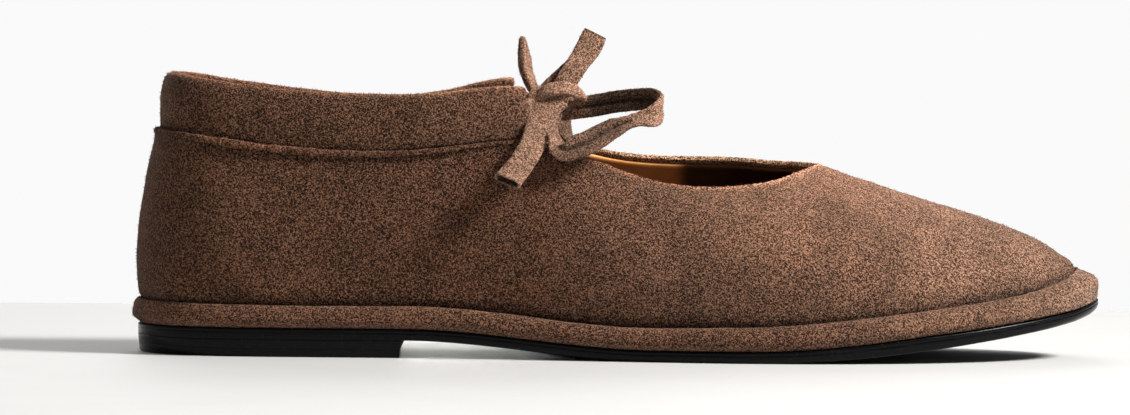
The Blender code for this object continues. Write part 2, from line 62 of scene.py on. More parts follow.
# Bottom unit
HEEL_LIFT = 4.7 * MM
HEEL_END = 0.283  # share of LENGTH where the heel stops
BREAST_RAKE = 2.4 * MM  # how far the heel's front face leans forward
HEEL_TUCK = 0.5 * MM  # how far the heel's foot is drawn in
OUTSOLE_THICK = 2.9 * MM
TOE_THICKER = 0.8 * MM  # the outsole gains this towards the toe
MIDSOLE_THICK = 6.5 * MM  # height of the suede roll
PLATE = 0.86  # share of it where the upper and the insole stand
TIP_REACH = 0.5  # turn over which the roll takes its shape at the tip
TOE_SPRING = 13.4 * MM
WAIST_END = 0.535  # share of LENGTH where the sole meets the floor
BALL_END = 0.63  # share of LENGTH where the toe spring starts
WELT = 6.6 * MM  # width of the roll at the tip, outside the upper
SOLE_INSET = 1.5 * MM  # the outsole lies this far inside the roll at the heel
INSOLE_THICK = 1.8 * MM
INSOLE_ROOM = 0.6 * MM  # between the insole's rim and the lining

# Collar and its seam
COLLAR_THICK = 4.4 * MM
COLLAR_BULGE = 0.6 * MM
COLLAR_STEP = 1.0 * MM  # the collar stands this far inside the upper's outer face
COLLAR_SWELL = 0.3 * MM  # extra height half-way along its sides
COLLAR_FALL = 0.9 * MM  # height lost at its front ends
COLLAR_LEAN = math.radians(4)
CHANNEL_WIDE = 7.2 * MM
CHANNEL_DEEP = 2.9 * MM
CHANNEL_AT = 0.56  # share of the collar's height where the channel runs
LIP_FALL = 1.5 * MM
RIM_CROWN = 0.35 * MM  # rounding of the upper's cut edge

# Drawstring
LACE_WIDE = 6.0 * MM
LACE_THICK = 1.7 * MM
LACE_HIDDEN = 6 * MM  # the stretch of lace inside each end of the channel
KNOT_AT = (113.4 * MM, -12.0 * MM, 68.4 * MM)  # from the back of the heel, the middle line and the floor
KNOT_RADII = (6.4 * MM, 4.6 * MM, 5.0 * MM)

# Resolution
AROUND = 80  # points round the shoe
COLLAR_STEPS = 18  # points of it from the back of the heel to each front end of the collar
LACE_STEP = 0.5 * MM  # between the points of a lace's path

# The roll's outer line. along is a share of LENGTH, across a share of WIDTH, welt a share of WELT and
# swell the roll's height as a share of MIDSOLE_THICK.
Outline = namedtuple("Outline", "side along across welt swell")
OUTLINE = (
    Outline("lateral", 0.000, 0.000, 0.32, 1.09),
    Outline("lateral", 0.035, -0.240, 0.32, 1.06),
    Outline("lateral", 0.120, -0.335, 0.34, 1.00),
    Outline("lateral", 0.250, -0.345, 0.36, 1.00),
    Outline("lateral", 0.380, -0.378, 0.40, 1.02),
    Outline("lateral", 0.500, -0.440, 0.46, 0.98),
    Outline("lateral", 0.630, -0.500, 0.52, 1.06),
    Outline("lateral", 0.760, -0.472, 0.58, 1.14),
    Outline("lateral", 0.870, -0.374, 0.68, 1.06),
    Outline("lateral", 0.950, -0.222, 0.82, 1.02),
    Outline("lateral", 1.000, 0.040, 1.00, 1.38),
    Outline("medial", 0.960, 0.258, 0.82, 1.20),
    Outline("medial", 0.885, 0.392, 0.68, 1.10),
    Outline("medial", 0.800, 0.472, 0.58, 1.12),
    Outline("medial", 0.715, 0.500, 0.52, 1.08),
    Outline("medial", 0.600, 0.435, 0.46, 1.00),
    Outline("medial", 0.500, 0.342, 0.42, 1.00),
    Outline("medial", 0.400, 0.284, 0.40, 1.00),
    Outline("medial", 0.280, 0.290, 0.38, 1.00),
    Outline("medial", 0.150, 0.330, 0.34, 1.00),
    Outline("medial", 0.035, 0.236, 0.32, 1.06),
)

# The upper's wall from the welt to its top line. flare and crown are degrees from the vertical, outwards at
# the foot and inwards at the top; pull and grip, shares of the wall, say how long each keeps its direction.
# The top line's place is a share of LENGTH, of WIDTH and of SEAM_HEIGHT.
Section = namedtuple("Section", "side along flare pull top_along top_across top_height crown grip")
SECTIONS = (
    Section("lateral", 0.000, 20, 0.22, 0.0237, 0.000, 1.000, 14, 0.35),
    Section("lateral", 0.035, 20, 0.22, 0.0500, -0.193, 0.990, 14, 0.35),
    Section("lateral", 0.120, 16, 0.22, 0.1220, -0.273, 0.947, 12, 0.34),
    Section("lateral", 0.250, 12, 0.24, 0.2480, -0.307, 0.914, 10, 0.34),
    Section("lateral", 0.340, 10, 0.26, 0.3280, -0.301, 0.938, 12, 0.34),
    Section("lateral", 0.420, 10, 0.28, 0.4045, -0.280, 0.969, 20, 0.35),
    Section("lateral", 0.510, 9, 0.30, 0.4700, -0.270, 0.902, 34, 0.36),
    Section("lateral", 0.630, 8, 0.34, 0.5500, -0.268, 0.789, 52, 0.38),
    Section("lateral", 0.760, 4, 0.34, 0.6400, -0.222, 0.785, 62, 0.41),
    Section("lateral", 0.870, -4, 0.26, 0.6820, -0.130, 0.830, 66, 0.42),
    Section("lateral", 0.950, -10, 0.20, 0.7010, -0.055, 0.858, 68, 0.42),
    Section("lateral", 1.000, -14, 0.18, 0.7090, 0.010, 0.868, 69, 0.42),
    Section("medial", 0.960, -10, 0.20, 0.7010, 0.062, 0.868, 68, 0.42),
    Section("medial", 0.885, -4, 0.26, 0.6830, 0.135, 0.870, 66, 0.42),
    Section("medial", 0.800, 2, 0.32, 0.6550, 0.205, 0.872, 63, 0.41),
    Section("medial", 0.715, 8, 0.32, 0.6150, 0.250, 0.882, 56, 0.40),
    Section("medial", 0.600, 12, 0.30, 0.5300, 0.272, 0.887, 44, 0.36),
    Section("medial", 0.500, 18, 0.28, 0.4600, 0.276, 0.938, 26, 0.34),
    Section("medial", 0.425, 24, 0.26, 0.3950, 0.280, 0.995, 15, 0.34),
    Section("medial", 0.350, 23, 0.26, 0.3350, 0.294, 0.935, 12, 0.34),
    Section("medial", 0.260, 20, 0.24, 0.2570, 0.300, 0.896, 10, 0.34),
    Section("medial", 0.150, 17, 0.22, 0.1500, 0.280, 0.928, 12, 0.34),
    Section("medial", 0.035, 20, 0.22, 0.0500, 0.190, 0.990, 14, 0.35),
)
FOOT_REACH = 0.14  # share of the wall over which its thickness turns level, so that its foot is flat

# The roll's rim from its foot to its top. inset is a share of the welt's width, rise a share of its height
# and tip the same at the tip of the toe, where the roll slopes.
Rim = namedtuple("Rim", "inset rise tip")
ROLL = (
    Rim(0.16, 0.05, 0.05),
    Rim(0.00, 0.30, 0.28),
    Rim(0.02, 0.58, 0.50),
    Rim(0.22, 0.84, 0.70),
    Rim(0.52, 0.98, 0.84),
    Rim(0.80, 1.00, 0.95),
    Rim(0.90, 0.96, 1.00),
)

# The collar's folded section, from its outer foot over the fold to its inner foot.
# out is a share of COLLAR_THICK from the outer face inwards, up a share of the collar's height.
Fold = namedtuple("Fold", "inward up bulge")
FOLDS = (
    Fold(0.00, 0.00, 0.0),
    Fold(0.00, 0.22, 0.6),
    Fold(0.00, 0.50, 1.0),
    Fold(0.00, 0.74, 0.7),
    Fold(0.06, 0.90, 0.2),
    Fold(0.26, 0.985, 0.0),
    Fold(0.50, 1.00, 0.0),
    Fold(0.76, 0.975, 0.0),
    Fold(0.96, 0.88, 0.0),
    Fold(1.00, 0.60, 0.0),
    Fold(1.00, 0.28, 0.0),
    Fold(0.95, 0.00, 0.0),
)

# Each strap of the bow: places in mm from the knot's middle, and the way its width points.
Strap = namedtuple("Strap", "x y z wide_x wide_y wide_z")
# The outer mouth's lace on its way behind the knot.
BAR = (
    Strap(-5.6, -7.2, -1.8, 0.0, 0.0, 1.0),
    Strap(-6.9, -4.4, -1.7, 0.0, 0.0, 1.0),
)

LEVEL = np.array([1, 1, 0])

UP = np.array([0, 0, 1])


def column_of(rows, name):
    """One column of a table."""
    return np.array([getattr(row, name) for row in rows], float)


def look_up(rows, key, name, at):
    """A table's column called name, straight from row to row, at places given in its column called key."""
    return np.interp(at, column_of(rows, key), column_of(rows, name))


def bell(away, reach):
    """1 where away is 0, falling softly to nearly 0 at twice the reach."""
    return np.exp(-((away / reach) ** 2))


def round_turns(count):
    return np.arange(count) * 2 * math.pi / count


def turn_of(row):
    """The turn angle of a table's row."""
    turn = math.acos(1 - 2 * row.along)
    return turn if row.side == "lateral" else 2 * math.pi - turn


def closed_curve(rows, column, turns):
    """A column of a table as a smooth closed function of the turn, by a periodic cubic spline."""
    knots = np.array([turn_of(row) for row in rows])
    values = column_of(rows, column)
    count = len(knots)
    steps = np.append(np.diff(knots), knots[0] + 2 * math.pi - knots[-1])
    rises = (np.roll(values, -1) - values) / steps
    system = np.zeros((count, count))
    for i in range(count):
        system[i, i - 1] += steps[i - 1]
        system[i, i] += 2 * (steps[i - 1] + steps[i])
        system[i, (i + 1) % count] += steps[i]
    bends = np.linalg.solve(system, 6 * (rises - np.roll(rises, 1)))
    turns = np.mod(np.asarray(turns, float), 2 * math.pi)
    i = np.clip(np.searchsorted(knots, turns, side="right") - 1, 0, count - 1)
    after = (i + 1) % count
    t = turns - knots[i]
    slope = rises[i] - steps[i] * (2 * bends[i] + bends[after]) / 6
    return values[i] + t * (slope + t * (bends[i] / 2 + t * (bends[after] - bends[i]) / (6 * steps[i])))


def ease(t):
    """0 to 1 with soft ends."""
    t = np.clip(t, 0, 1)
    return t * t * (3 - 2 * t)


def unit(vectors):
    return vectors / np.linalg.norm(vectors, axis=-1, keepdims=True)


def outline(turns):
    """The roll's outer line in plan."""
    along = (1 - np.cos(turns)) / 2
    across = closed_curve(OUTLINE, "across", turns)
    return np.stack([(along - 0.5) * LENGTH, across * WIDTH], axis=-1)


def inward(turns):
    """The unit vector in plan that points from the outline into the shoe."""
    small = 1e-3
    ahead = unit(outline(turns + small) - outline(turns - small))
    return np.stack([-ahead[..., 1], ahead[..., 0]], axis=-1)


def inset_line(turns, inset):
    return outline(turns) + inward(turns) * np.asarray(inset)[..., None]


def rest_height(x):
    """The underside of the outsole: raised by the heel, on the floor at the ball, sprung at the toe."""
    along = x / LENGTH + 0.5
    waist = ease((WAIST_END - along) / (WAIST_END - HEEL_END))
    toe = np.clip((along - BALL_END) / (1 - BALL_END), 0, None)
    return HEEL_LIFT * waist + TOE_SPRING * toe**2


def outsole_top(x):
    along = x / LENGTH + 0.5
    return rest_height(x) + OUTSOLE_THICK + TOE_THICKER * ease((along - BALL_END) / 0.2)


def plate_top(x):
    """The midsole's top, inside the roll."""
    return outsole_top(x) + GAP + PLATE * MIDSOLE_THICK


def welt_width(turns):
    return WELT * closed_curve(OUTLINE, "welt", turns)


def wall_points(turns, rows):
    """The upper's outer face without its seam lip: a point for each turn and row, from foot 0 to top 1."""
    foot = inset_line(turns, welt_width(turns) + GAP)
    foot = np.concatenate([foot, (plate_top(foot[..., 0]) + GAP)[..., None]], axis=-1)
    along, across, height, flare, crown, pull, grip = (
        closed_curve(SECTIONS, name, turns)
        for name in ("top_along", "top_across", "top_height", "flare", "crown", "pull", "grip")
    )
    top = np.stack([(along - 0.5) * LENGTH, across * WIDTH, height * SEAM_HEIGHT], axis=-1)
    flare, crown = np.radians(flare)[..., None], np.radians(crown)[..., None]
    chord = np.linalg.norm(top - foot, axis=-1)
    normal = inward(turns)
    over = unit(top[..., :2] - foot[..., :2] + 0.1 * LENGTH * normal)
    low = np.concatenate([-normal * np.sin(flare), np.cos(flare)], axis=-1)
    high = np.concatenate([over * np.sin(crown), np.cos(crown)], axis=-1)
    corners = (foot, foot + low * (chord * pull)[..., None], top - high * (chord * grip)[..., None], top)
    t = np.asarray(rows, float)[:, None]
    weights = ((1 - t) ** 3, 3 * t * (1 - t) ** 2, 3 * t**2 * (1 - t), t**3)
    return sum(corner[..., None, :] * weight for corner, weight in zip(corners, weights))


def wall_inwards(normal, rows):
    """The way through the wall: against its normal, but level at the foot so that the foot is flat."""
    level = normal * LEVEL
    return -unit(level + (normal - level) * ease(rows / FOOT_REACH)[:, None])


def through(rows, steps_between):
    """A smooth curve through the rows, with steps_between(row, next) steps from each to the next."""
    rows = np.asarray(rows, float)
    padded = np.concatenate([2 * rows[:1] - rows[1:2], rows, 2 * rows[-1:] - rows[-2:-1]])
    found = []
    for a, b, c, d in zip(padded, padded[1:], padded[2:], padded[3:]):
        count = steps_between(b, c)
        for t in np.arange(count) / count:
            cubic = (-a + 3 * b - 3 * c + d) * t**3 + (2 * a - 5 * b + 4 * c - d) * t**2
            found.append(0.5 * (cubic + (c - a) * t + 2 * b))
    found.append(rows[-1])
    return np.array(found)


def wall_normals(turns, rows):
    """Outward unit normals of wall_points."""
    small = 1e-4
    rows = np.asarray(rows, float)
    around = wall_points(turns + small, rows) - wall_points(turns - small, rows)
    upwards = wall_points(turns, rows + small) - wall_points(turns, rows - small)
    return unit(np.cross(around, upwards))


def collar_share(turns):
    """1 under the collar, fading to 0 past its front ends."""
    turns = np.mod(turns, 2 * math.pi)
    away = np.minimum(turns, 2 * math.pi - turns)
    end = COLLAR_STEPS * 2 * math.pi / AROUND
    return 1 - ease((away - end) / 0.12)


def across_faces(start, count):
    """Faces over a ring that runs round the shoe, joining equal stations of its two sides."""
    half = count // 2
    faces = [(start, start + 1, start + count - 1)]
    for i in range(1, half - 1):
        faces.append((start + i, start + i + 1, start + count - i - 1, start + count - i))
    faces.append((start + half - 1, start + half, start + half + 1))
    return faces


def ring(turns, inset, height):
    """A closed ring inside the outline; height is a function of x."""
    line = inset_line(turns, inset)
    return np.concatenate([line, height(line[:, 0])[:, None]], axis=-1)


def sole_inset(turns):
    """The outsole's rim lies inside the roll at the heel and meets it at the toe."""
    along = (1 - np.cos(turns)) / 2
    return SOLE_INSET * (1 - along**2)


def collar_turns():
    return np.arange(-COLLAR_STEPS, COLLAR_STEPS + 1) * 2 * math.pi / AROUND


def collar_frame(turns):
    """The collar's foot line, with its inward and upward directions."""
    foot = wall_points(turns, [1])[:, 0]
    small = 1e-3
    ahead = (wall_points(turns + small, [1]) - wall_points(turns - small, [1]))[:, 0]
    into = unit(np.stack([-ahead[:, 1], ahead[:, 0], np.zeros(len(ahead))], axis=-1))
    upward = into * math.sin(COLLAR_LEAN) + np.array([0, 0, math.cos(COLLAR_LEAN)])
    return foot + into * COLLAR_STEP + np.array([0, 0, RIM_CROWN + GAP]), into, upward


def collar_height(turns):
    """From the gap over the upper to the fold: a little higher half-way along each side."""
    share = np.abs(turns) / collar_turns()[-1]
    return COLLAR_HEIGHT - RIM_CROWN - GAP + COLLAR_SWELL * np.sin(math.pi * share) - COLLAR_FALL * share**8


def channel_middle(turns):
    """The middle line of the lace channel."""
    foot, into, upward = collar_frame(turns)
    return foot + into * COLLAR_THICK * 0.5 + upward * collar_height(turns)[:, None] * CHANNEL_AT


def knot_middle():
    return np.array(KNOT_AT) - np.array([LENGTH / 2, 0, 0])


def mouth_points(turn, back):
    """Two points of the lace at a channel mouth: one hidden inside it, one just outside."""
    edge = channel_middle(np.array([turn]))[0]
    behind = channel_middle(np.array([turn + back]))[0]
    into = unit(behind - edge)
    upward = collar_frame(np.array([turn]))[2][0]
    return [(*(edge + into * distance), *upward) for distance in (LACE_HIDDEN, 0, -0.8 * MM)]


def refined(stack, count):
    """A stack of rings or rows with count steps between neighbours."""
    return through(stack, lambda row, following: count)


def put(name, data):
    """A new object in the scene."""
    thing = bpy.data.objects.new(name, data)
    bpy.context.scene.collection.objects.link(thing)
    return thing


def wobble(points, size, seed):
    """Smooth noise between -1 and 1 at each point; size is its grain in metres."""
    shift = Vector((seed * 7.3, seed * 3.1, seed * 5.7))
    flat = np.asarray(points, float).reshape(-1, 3) / size
    values = np.array([noise.noise(Vector(p) + shift) for p in flat])
    return values.reshape(np.shape(points)[:-1])


def piece_from(name, points, faces, finish, shade=None, fuzz=None):
    """A mesh object from points and quads or triangles, with smooth normals that face outwards."""
    points = np.asarray(points, np.float64).reshape(-1, 3)
    quads = np.array([face for face in faces if len(face) == 4], int).reshape(-1, 4)
    tris = np.array([face for face in faces if len(face) == 3], int).reshape(-1, 3)
    volume = 0.0
    for a, b, c in (quads[:, :3].T, quads[:, [0, 2, 3]].T, tris.T):
        volume += float((points[a] * np.cross(points[b], points[c])).sum())
    if volume < 0:
        faces = [face[::-1] for face in faces]
    mesh = bpy.data.meshes.new(name)
    mesh.from_pydata(points.tolist(), [], [tuple(int(i) for i in face) for face in faces])
    mesh.validate()
    mesh.materials.append(finish)
    if shade is not None:
        colours = np.concatenate([np.asarray(shade, np.float32), np.ones((len(shade), 1))], 1)
        mesh.attributes.new("shade", "FLOAT_COLOR", "POINT").data.foreach_set("color", colours.ravel())
    if fuzz is not None:
        mesh.attributes.new("fuzz", "FLOAT", "POINT").data.foreach_set("value", np.asarray(fuzz, np.float32))
    mesh.shade_smooth()
    piece = put(name, mesh)
    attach(piece, "root")
    return piece


def ring_faces(rings, count, closed):
    a = np.arange(rings if closed else rings - 1)[:, None]
    b = (a + 1) % rings
    i = np.arange(count)[None, :]
    j = (i + 1) % count
    quads = np.stack([a * count + i, a * count + j, b * count + j, b * count + i], -1)
    return [tuple(face) for face in quads.reshape(-1, 4).tolist()]


def plate_piece(name, rings, finish, shade=None, fuzz=None):
    """A solid whose rim is a stack of rings round the shoe, closed across its first and last ring."""
    count = len(rings[0])
    faces = ring_faces(len(rings), count, False)
    faces += across_faces(0, count) + across_faces((len(rings) - 1) * count, count)
    return piece_from(name, np.concatenate(rings), faces, finish, shade, fuzz)


# Camera: level with the shoe, a little above it, square to its outer side.
VIEW_AIM = Vector((-0.0140, 0.0, 0.0396))
VIEW_RISE = 2.35
VIEW_AWAY = 2.4
VIEW_LENS = 282
VIEW_ROLL = 0.46


def make_camera():
    camera = bpy.data.cameras.new("view")
    camera.sensor_fit = "HORIZONTAL"
    camera.sensor_width = 36
    camera.lens = VIEW_LENS
    camera.clip_start = 0.01
    rise = math.radians(VIEW_RISE)
    direction = Vector((0, -math.cos(rise), math.sin(rise)))
    turn = (-direction).to_track_quat("-Z", "Y").to_matrix().to_4x4()
    roll = Matrix.Rotation(math.radians(VIEW_ROLL), 4, "Z")
    holder = put("view", camera)
    holder.matrix_world = Matrix.Translation(VIEW_AIM + direction * VIEW_AWAY) @ turn @ roll
    bpy.context.scene.camera = holder


def add_node(tree, kind, **settings):
    node = tree.nodes.new(kind)
    for key, value in settings.items():
        setattr(node, key, value)
    return node


# Materials
class Graph:
    """A short way to write a material's nodes. Colours are red, green and blue."""

    def __init__(self, name):
        self.material = bpy.data.materials.new(name)
        self.material.use_nodes = True
        self.tree = self.material.node_tree
        self.shader = self.tree.nodes["Principled BSDF"]
        self.place = self.add("ShaderNodeTexCoord").outputs["Object"]

    def add(self, kind, **settings):
        return add_node(self.tree, kind, **settings)

    def set(self, socket, value):
        if isinstance(value, bpy.types.NodeSocket):
            self.tree.links.new(value, socket)
        else:
            socket.default_value = (*value, 1) if socket.type == "RGBA" else value

    def grain(self, scale, detail=2.0, rough=0.5, warp=0.0, at=None):
        """Noise in places of the shoe; scale is in grains to the metre."""
        node = self.add("ShaderNodeTexNoise")
        self.set(node.inputs["Vector"], at or self.place)
        for key, number in (("Scale", scale), ("Detail", detail), ("Roughness", rough), ("Distortion", warp)):
            node.inputs[key].default_value = number
        return node.outputs["Fac"]

    def spread(self, value, low, high, to_low=0.0, to_high=1.0):
        node = self.add("ShaderNodeMapRange", clamp=True)
        self.set(node.inputs["Value"], value)
        for key, number in zip(("From Min", "From Max", "To Min", "To Max"), (low, high, to_low, to_high)):
            node.inputs[key].default_value = number
        return node.outputs["Result"]

    def sums(self, kind, a, b):
        node = self.add("ShaderNodeMath", operation=kind)
        self.set(node.inputs[0], a)
        self.set(node.inputs[1], b)
        return node.outputs[0]

    def mix(self, share, a, b, kind="MIX"):
        node = self.add("ShaderNodeMix", data_type="RGBA", blend_type=kind)
        sockets = [socket for socket in node.inputs if socket.enabled]
        for socket, value in zip(sockets, (share, a, b)):
            self.set(socket, value)
        return [socket for socket in node.outputs if socket.enabled][0]

    def shaded(self, base):
        """A colour times the surface's own shade attribute."""
        node = self.add("ShaderNodeAttribute", attribute_type="GEOMETRY", attribute_name="shade")
        return self.mix(1.0, base, node.outputs["Color"], "MULTIPLY")

    def bump(self, height, depth, strength=1.0, before=None):
        node = self.add("ShaderNodeBump")
        self.set(node.inputs["Height"], height)
        node.inputs["Distance"].default_value = depth
        node.inputs["Strength"].default_value = strength
        if before is not None:
            self.set(node.inputs["Normal"], before)
        return node.outputs["Normal"]

    def finish(self, **values):
        for key, value in values.items():
            self.set(self.shader.inputs[key.replace("_", " ")], value)
        return self.material


# Each suede's dark gaps, middle and light nap, its relief in metres and how much its flecks (partly painted
# glints) show.
SUEDES = {
    "lace_suede": ((0.125, 0.066, 0.041), (0.185, 0.102, 0.066), (0.32, 0.193, 0.133), 0.0003, 0.15),
    "upper_suede": ((0.068, 0.0315, 0.0185), (0.135, 0.068, 0.040), (0.40, 0.224, 0.147), 0.0005, 0.5),
    "raw_edge": ((0.07, 0.033, 0.020), (0.17, 0.088, 0.056), (0.32, 0.18, 0.122), 0.0005, 0.5),
    "nap_fibres": ((0.10, 0.05, 0.03), (0.23, 0.125, 0.08), (0.46, 0.27, 0.19), 0.0001, 0.5),
}

# Colour of the light flecks: partly the nap's paler fibres, partly painted glints that stay bright where the
# nap is painted dark.
FLECK_AND_GLINT = (0.30, 0.165, 0.105)


def suede_finish(name):
    """Curly nap: clumps under a millimetre, bright curls and dark gaps, and patches that lie another way."""
    dark, middle, light, depth, flecks = SUEDES[name]
    g = Graph(name)
    clumps = g.grain(2300, 0.0, 0.6, 0.8)
    fibres = g.grain(3800, 0.0, 0.6, 0.6)
    curls = g.grain(2500, 0.0, 0.5, 1.0)
    patches = g.grain(75, 2.0, 0.5)
    streaks = g.grain(260, 2.0, 0.6, 0.6)
    nap = g.sums("ADD", g.sums("MULTIPLY", clumps, 0.66), g.sums("MULTIPLY", fibres, 0.34))
    share = g.spread(nap, 0.465, 0.575)
    base = g.mix(g.spread(share, 0.0, 0.5), dark, middle)
    base = g.mix(g.spread(share, 0.5, 1.0), base, light)
    base = g.mix(g.spread(curls, 0.53, 0.6), base, [1.6 * part for part in light])
    base = g.mix(g.spread(curls, 0.42, 0.33), base, [0.8 * part for part in dark])
    patch_tone = g.spread(patches, 0.32, 0.68, 0.76, 1.24)
    streak_tone = g.spread(streaks, 0.3, 0.7, 0.88, 1.12)
    drift = g.sums("MULTIPLY", patch_tone, streak_tone)
    grey = g.add("ShaderNodeCombineColor")
    for key in ("Red", "Green", "Blue"):
        g.set(grey.inputs[key], drift)
    base = g.shaded(g.mix(1.0, base, grey.outputs[0], "MULTIPLY"))
    # Light flecks over the painted tones: paler fibres, partly painted glints.
    base = g.mix(g.spread(curls, 0.55, 0.64, 0.0, flecks), base, FLECK_AND_GLINT, "LIGHTEN")
    relief = g.bump(curls, depth * 0.5, 1.0, g.bump(clumps, depth * 0.55))
    return g.finish(
        Base_Color=base,
        Normal=g.bump(fibres, depth * 0.25, 1.0, relief),
        Roughness=0.94,
        IOR=1.4,
        Specular_IOR_Level=0.15,
        Sheen_Weight=0.25,
        Sheen_Roughness=0.45,
        Sheen_Tint=(0.75, 0.55, 0.45),
    )


def leather_finish(name, dark, light, rough=0.42, shaded=False):
    """Smooth lining leather with fine pores and faint rubbed patches."""
    g = Graph(name)
    pores = g.grain(2400, 2.0, 0.55)
    rub = g.grain(90, 3.0, 0.6, 0.4)
    base = g.mix(g.spread(rub, 0.3, 0.7), dark, light)
    base = g.mix(g.spread(pores, 0.35, 0.65, 0.0, 0.25), base, [0.5 * part for part in dark])
    return g.finish(
        Base_Color=g.shaded(base) if shaded else base,
        Normal=g.bump(pores, 0.00006, 0.7),
        Roughness=g.spread(rub, 0.3, 0.7, rough - 0.06, rough + 0.1),
    )


def sole_finish(name):
    """Satin black composition with fine scuffs along the edge and a little dust."""
    g = Graph(name)
    stretch = g.add("ShaderNodeMapping")
    g.set(stretch.inputs["Vector"], g.place)
    stretch.inputs["Scale"].default_value = (60, 60, 1600)
    scuffs = g.grain(1.0, 3.0, 0.6, 0.2, stretch.outputs[0])
    dust = g.grain(700, 3.0, 0.6)
    scuffed = g.spread(scuffs, 0.55, 0.75, 0.0, 0.5)
    base = g.mix(scuffed, (0.0022, 0.0022, 0.0024), (0.0070, 0.0070, 0.0074))
    base = g.mix(g.spread(dust, 0.58, 0.7, 0.0, 0.3), base, (0.018, 0.017, 0.016))
    return g.finish(
        Base_Color=base,
        Normal=g.bump(scuffs, 0.00004, 0.6, g.bump(dust, 0.00003, 0.5)),
        Roughness=g.spread(scuffs, 0.35, 0.7, 0.2, 0.34),
        Specular_IOR_Level=0.12,
    )


# How light the nap is along the shoe, partly its own tone and partly painted shade that darkens heel and
# quarter:
# share of LENGTH from the heel, and red, green and blue factors.
Tone = namedtuple("Tone", "along red green blue")
UPPER_TONES = (
    Tone(0.00, 0.255, 0.18, 0.126),
    Tone(0.08, 0.24, 0.174, 0.121),
    Tone(0.17, 0.249, 0.18, 0.132),
    Tone(0.29, 0.215, 0.148, 0.106),
    Tone(0.40, 0.271, 0.193, 0.138),
    Tone(0.53, 0.396, 0.338, 0.307),
    Tone(0.64, 0.514, 0.462, 0.426),
    Tone(0.72, 0.576, 0.52, 0.488),
    Tone(0.84, 0.773, 0.737, 0.719),
    Tone(0.91, 0.77, 0.754, 0.737),
    Tone(1.00, 0.603, 0.595, 0.603),
)
ROLL_TONES = (
    Tone(0.00, 0.335, 0.268, 0.235),
    Tone(0.30, 0.381, 0.313, 0.272),
    Tone(0.50, 0.357, 0.295, 0.26),
    Tone(0.68, 0.31, 0.253, 0.226),
    Tone(0.80, 0.47, 0.437, 0.412),
    Tone(0.92, 0.571, 0.554, 0.546),
    Tone(1.00, 0.66, 0.691, 0.707),
)


def shades(tones, points, more=1.0):
    """The nap's red, green and blue factors at each point, times more."""
    along = np.asarray(points, float).reshape(-1, 3)[:, 0] / LENGTH + 0.5
    columns = [look_up(tones, "along", key, along) for key in ("red", "green", "blue")]
    return np.stack(columns, -1) * np.asarray(more, float).reshape(-1, 1)


# Nap
def make_tuft():
    """Three thin curved fibres, one unit long, that are copied over the suede."""
    points, faces = [], []
    for k in range(3):
        turn = 2 * math.pi * k / 3
        out = np.array([math.cos(turn), math.sin(turn), 0.0])
        side = np.array([-out[1], out[0], 0.0])
        start = len(points)
        for height, reach, wide in ((0.0, 0.10, 0.07), (0.55, 0.22, 0.055)):
            middle = out * reach + UP * height
            points += [middle - side * wide, middle + side * wide]
        points.append(out * (0.62 - 0.1 * k) + UP * 0.9)
        faces += [(start, start + 1, start + 3, start + 2), (start + 2, start + 3, start + 4)]
    mesh = bpy.data.meshes.new("tuft")
    mesh.from_pydata([tuple(point) for point in points], [], faces)
    return put("tuft", mesh)


